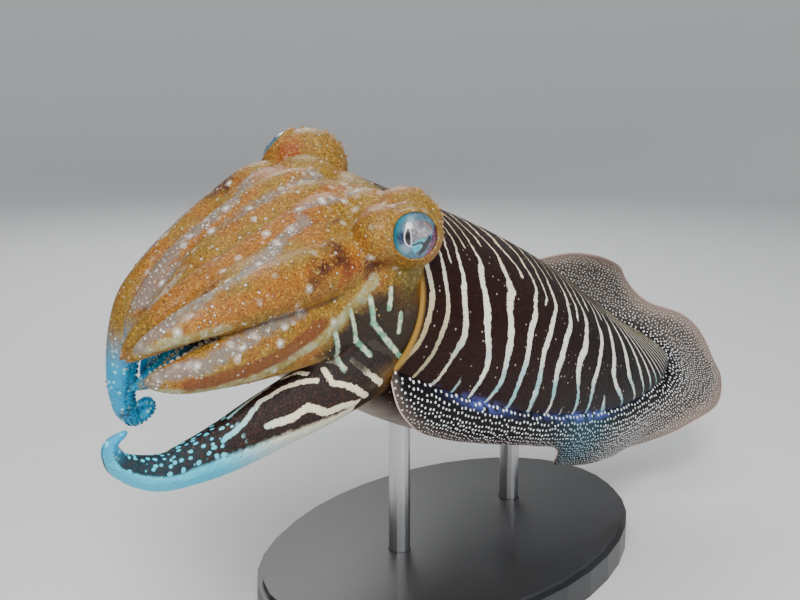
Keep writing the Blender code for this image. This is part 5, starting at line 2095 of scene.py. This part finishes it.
@dataclass
class Eye:
    """One eyeball with its painted front, seen through the round lid."""

    form: EyeForm
    rings: int = 130
    sides: int = 180
    halo_width: float = 0.32
    clouds: dict[str, tuple] = field(default_factory=lambda: {
        "ink": (((-4.4, -0.4), 1.5, 1.0), ((-2.9, 3.2), 1.0, 1.0), ((-4.3, -2.2), 0.9, 0.7)),
        "mist": (((-3.0, -3.8), 1.7, 1.0), ((-1.6, 4.4), 1.2, 1.0), ((-3.5, 1.5), 0.9, 0.7)),
    })
    slit: Table = ((-2.7, 2.6), (-3.1, 1.5), (-3.5, 0.3), (-3.55, -0.8), (-3.3, -1.8), (-2.7, -2.6),
                   (-1.95, -3.0), (-1.9, -2.3), (-1.95, -1.0), (-2.1, 0.4), (-2.4, 1.6))
    bend: Table = ((-1.4, -2.75), (-0.6, -2.45), (0.4, -1.95), (1.25, -1.75), (1.75, -2.1), (1.6, -2.5),
                   (1.0, -2.15), (0.2, -2.35), (-0.6, -2.8), (-1.2, -3.05))
    wedge: Table = ((4.0, 0.2), (3.2, -0.9), (2.3, -1.9), (1.75, -2.2), (1.75, -3.3), (1.2, -4.4),
                    (0.6, -5.5), (1.2, -5.7), (2.6, -4.5), (3.6, -3.0), (4.3, -1.2))
    flap: Table = ((-1.9, -2.95), (-0.6, -3.0), (0.4, -2.6), (1.3, -2.35), (1.7, -2.7), (1.5, -3.6),
                   (0.2, -4.6), (-0.4, -5.4), (-1.2, -4.2), (-1.8, -3.5))
    turquoise: Table = ((-1.6, -2.4), (-0.4, -1.9), (0.6, -1.3), (1.5, -0.75), (2.5, -1.2), (2.2, -1.8),
                        (1.3, -1.6), (0.2, -1.9), (-0.8, -2.45))
    hood: Table = ((-2.2, 2.4), (-1.4, 3.8), (0.5, 4.6), (3.0, 4.2), (5.0, 2.6), (4.4, 0.6), (3.3, -0.4),
                   (1.6, -0.6), (0.4, -1.1), (-0.9, -2.0), (-1.7, -2.6), (-1.85, -0.8), (-2.0, 0.8))

    def paint_front(self, flat: Points, depth: Points) -> dict[str, Points]:
        """Values over the eye's front.

        Args:
            flat: distances across and up from the middle of the window.
            depth: how far each point lies towards the front.

        Returns:
            Named values for the finish.
        """
        slit, bend, wedge, flap, turquoise, hood = (
            inside_outline(flat, outline)
            for outline in (self.slit, self.bend, self.wedge, self.flap, self.turquoise, self.hood)
        )
        away = np.linalg.norm(flat, axis=1)
        left = ease(0.2, -0.75, flat[:, 0] / np.maximum(away, 0.1))
        outlines = {"pupil": np.maximum(np.maximum(slit, bend), wedge), "halo": slit + self.halo_width,
                    "flap": flap, "turquoise": turquoise, "hood": hood}
        return {
            **{name: np.where(depth > 0.0, value, -1.0) for name, value in outlines.items()},
            **{name: sum(near(flat, place, radius) * strength for place, radius, strength in clouds)
               for name, clouds in self.clouds.items()},
            "ring": ease(4.9, 6.0, away) * left,
            "plum": ease(4.3, 5.2, flat[:, 0] * 0.95 - flat[:, 1] * 0.28) * (depth > 0),
            "warm": ease(3.2, 5.6, flat[:, 0] * 0.7 + flat[:, 1] * 0.7),
        }

    def build(self) -> bpy.types.Object:
        """Build and dress the eyeball.

        Returns:
            The piece.
        """
        across, up, look = self.form.axes()
        polar = math.pi * np.linspace(0.0, 1.0, self.rings) ** 1.6
        flat = np.sin(polar)[:, None, None] * hoop(np.array([1.0, 0.0]), np.array([0.0, 1.0]), self.sides)
        flat = flat.reshape(-1, 2) * self.form.radius
        depth = np.repeat(np.cos(polar), self.sides) * self.form.radius
        points = self.form.centre() + flat[:, :1] * across + flat[:, 1:] * up + depth[:, None] * look
        plan = MeshPlan()
        flip = bool(np.dot(np.cross(across, up), look) < 0.0)
        plan.add(points, grid_faces(self.rings, self.sides, True, flip), **self.paint_front(flat, depth))
        name = "eye_" + self.form.side.name.lower()
        piece = plan.build(name + "_ball")
        piece.data.materials.append(EyeFinish().material())
        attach(piece, "root")
        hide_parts(name)
        return piece


# Stand and studio.


@dataclass
class Stand:
    """The plain stand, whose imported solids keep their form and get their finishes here."""

    base_colour: Colour = (0.020, 0.021, 0.023)
    base_light: Colour = (0.030, 0.031, 0.034)
    rod_colour: Colour = (0.60, 0.60, 0.61)
    rod_dark: Colour = (0.52, 0.52, 0.53)

    def base_finish(self) -> bpy.types.Material:
        """Fine satin paint over metal.

        Returns:
            The material.
        """
        s = Surface("satin_paint")
        peel = s.noise(0.9, 2.0)
        cloud = s.noise(40.0, 2.0)
        colour = s.mix(cloud.step(0.3, 0.7), self.base_colour, self.base_light)
        s.relief(peel, 0.05)
        return s.finish(Base_Color=colour, Roughness=0.33 + peel * 0.1 + cloud * 0.06, Coat_Weight=0.15)

    def rod_finish(self) -> bpy.types.Material:
        """Steel brushed along the rod.

        Returns:
            The material.
        """
        s = Surface("brushed_steel")
        stretch = s.node("ShaderNodeMapping", {}, {"Vector": s.place(), "Scale": (1.0, 1.0, 0.03)}).outputs[0]
        grain = s.noise(0.18, 3.0, at=stretch)
        colour = s.mix(grain, self.rod_dark, self.rod_colour)
        s.relief(grain, 0.03)
        return s.finish(Base_Color=colour, Metallic=1.0, Roughness=0.22 + grain * 0.16)

    def build(self) -> None:
        """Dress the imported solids."""
        paint_coat, steel = self.base_finish(), self.rod_finish()
        finishes = {"stand_base": paint_coat, "stand_rod_front": steel, "stand_rod_rear": steel}
        for name, material in finishes.items():
            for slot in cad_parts[name].material_slots:
                slot.material = material


@dataclass(frozen=True)
class Lamp:
    """One soft square light: place and aim in metres, side in metres and power in watts."""

    name: str
    place: Triple
    size: float
    power: float
    colour: Colour = (1.0, 1.0, 1.0)
    aim: Triple = (-0.03, 0.0, 0.1)

    def build(self) -> None:
        """Add the light to the scene."""
        data = bpy.data.lights.new(self.name, "AREA")
        data.size, data.energy, data.color = self.size, self.power, self.colour
        lamp = bpy.data.objects.new(self.name, data)
        lamp.location = self.place
        lamp.rotation_euler = (Vector(self.aim) - Vector(self.place)).to_track_quat("-Z", "Y").to_euler()
        bpy.context.scene.collection.objects.link(lamp)


LAMPS = (
    Lamp("key", (-0.62, -0.42, 0.72), 0.36, 9.5, (1.0, 0.98, 0.95)),
    Lamp("fill", (-0.15, -0.95, 0.30), 0.6, 3.2, (0.93, 0.97, 1.0)),
    Lamp("rim", (0.55, 0.62, 0.75), 0.45, 5.0),
    Lamp("top", (0.0, 0.0, 1.2), 0.9, 4.0, aim=(0.0, 0.0, 0.0)),
)


@dataclass
class Studio:
    """Pale floor that sweeps up all round, soft lights and the camera at the photograph's view."""

    floor_radius: float = 1.25
    floor_sides: int = 96
    floor_colour: Colour = (0.72, 0.73, 0.74)
    wall_height: float = 1.3
    sweep: float = 0.45
    sweep_steps: int = 12
    world_colour: Colour = (0.80, 0.83, 0.87)
    world_strength: float = 0.22
    camera_place: Triple = (-0.3482, -0.2306, 0.1905)
    camera_turn_deg: Triple = (78.17, 0.08, -53.64)
    lens: float = 50.91

    def floor(self) -> None:
        """Build the floor and its upswept wall."""
        profile = [(self.floor_radius, 0.0)]
        for swing in np.radians(np.arange(1, self.sweep_steps + 1) * 90.0 / self.sweep_steps):
            reach, height = self.sweep * math.sin(swing), self.sweep * (1.0 - math.cos(swing))
            profile.append((self.floor_radius + reach, height))
        profile.append((self.floor_radius + self.sweep, self.wall_height))
        sides = self.floor_sides
        ring = hoop(np.array([1.0, 0.0, 0.0]), np.array([0.0, 1.0, 0.0]), sides)
        rows = [ring * reach + np.array([0.0, 0.0, height]) for reach, height in profile]
        mesh = bpy.data.meshes.new("floor")
        faces = grid_faces(len(rows), sides, True, True) + cap_faces(0, sides, len(rows) * sides, False)
        mesh.from_pydata(np.concatenate([*rows, np.zeros((1, 3))]).tolist(), [], faces)
        mesh.shade_smooth()
        piece = bpy.data.objects.new("floor", mesh)
        bpy.context.scene.collection.objects.link(piece)
        mesh.materials.append(Surface("pale_floor").finish(Base_Color=self.floor_colour, Roughness=0.75))

    def build(self) -> None:
        """Build floor, lights, surroundings and camera."""
        self.floor()
        for lamp in LAMPS:
            lamp.build()
        world = bpy.data.worlds.new("studio")
        world.use_nodes = True
        sky = world.node_tree.nodes["Background"].inputs
        sky["Color"].default_value = (*self.world_colour, 1.0)
        sky["Strength"].default_value = self.world_strength
        bpy.context.scene.world = world
        data = bpy.data.cameras.new("camera")
        data.sensor_width, data.lens, data.clip_start = 36.0, self.lens, 0.01
        camera = bpy.data.objects.new("camera", data)
        camera.location = self.camera_place
        camera.rotation_euler = [math.radians(angle) for angle in self.camera_turn_deg]
        bpy.context.scene.collection.objects.link(camera)
        bpy.context.scene.camera = camera


def main() -> None:
    """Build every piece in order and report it."""
    logging.basicConfig(level=logging.INFO, format="%(name)s: %(message)s")
    makers = {
        "studio": Studio(), "stand": Stand(), "mantle and fins": MantleSkin(), "head and arms": HeadSkin(),
        "left eye": Eye(EYES[0]), "right eye": Eye(EYES[1]),
    }
    for name, maker in makers.items():
        piece = maker.build()
        LOG.info("%s built, %d faces", name, len(piece.data.polygons) if piece else 0)


if __name__ == "__main__":
    main()
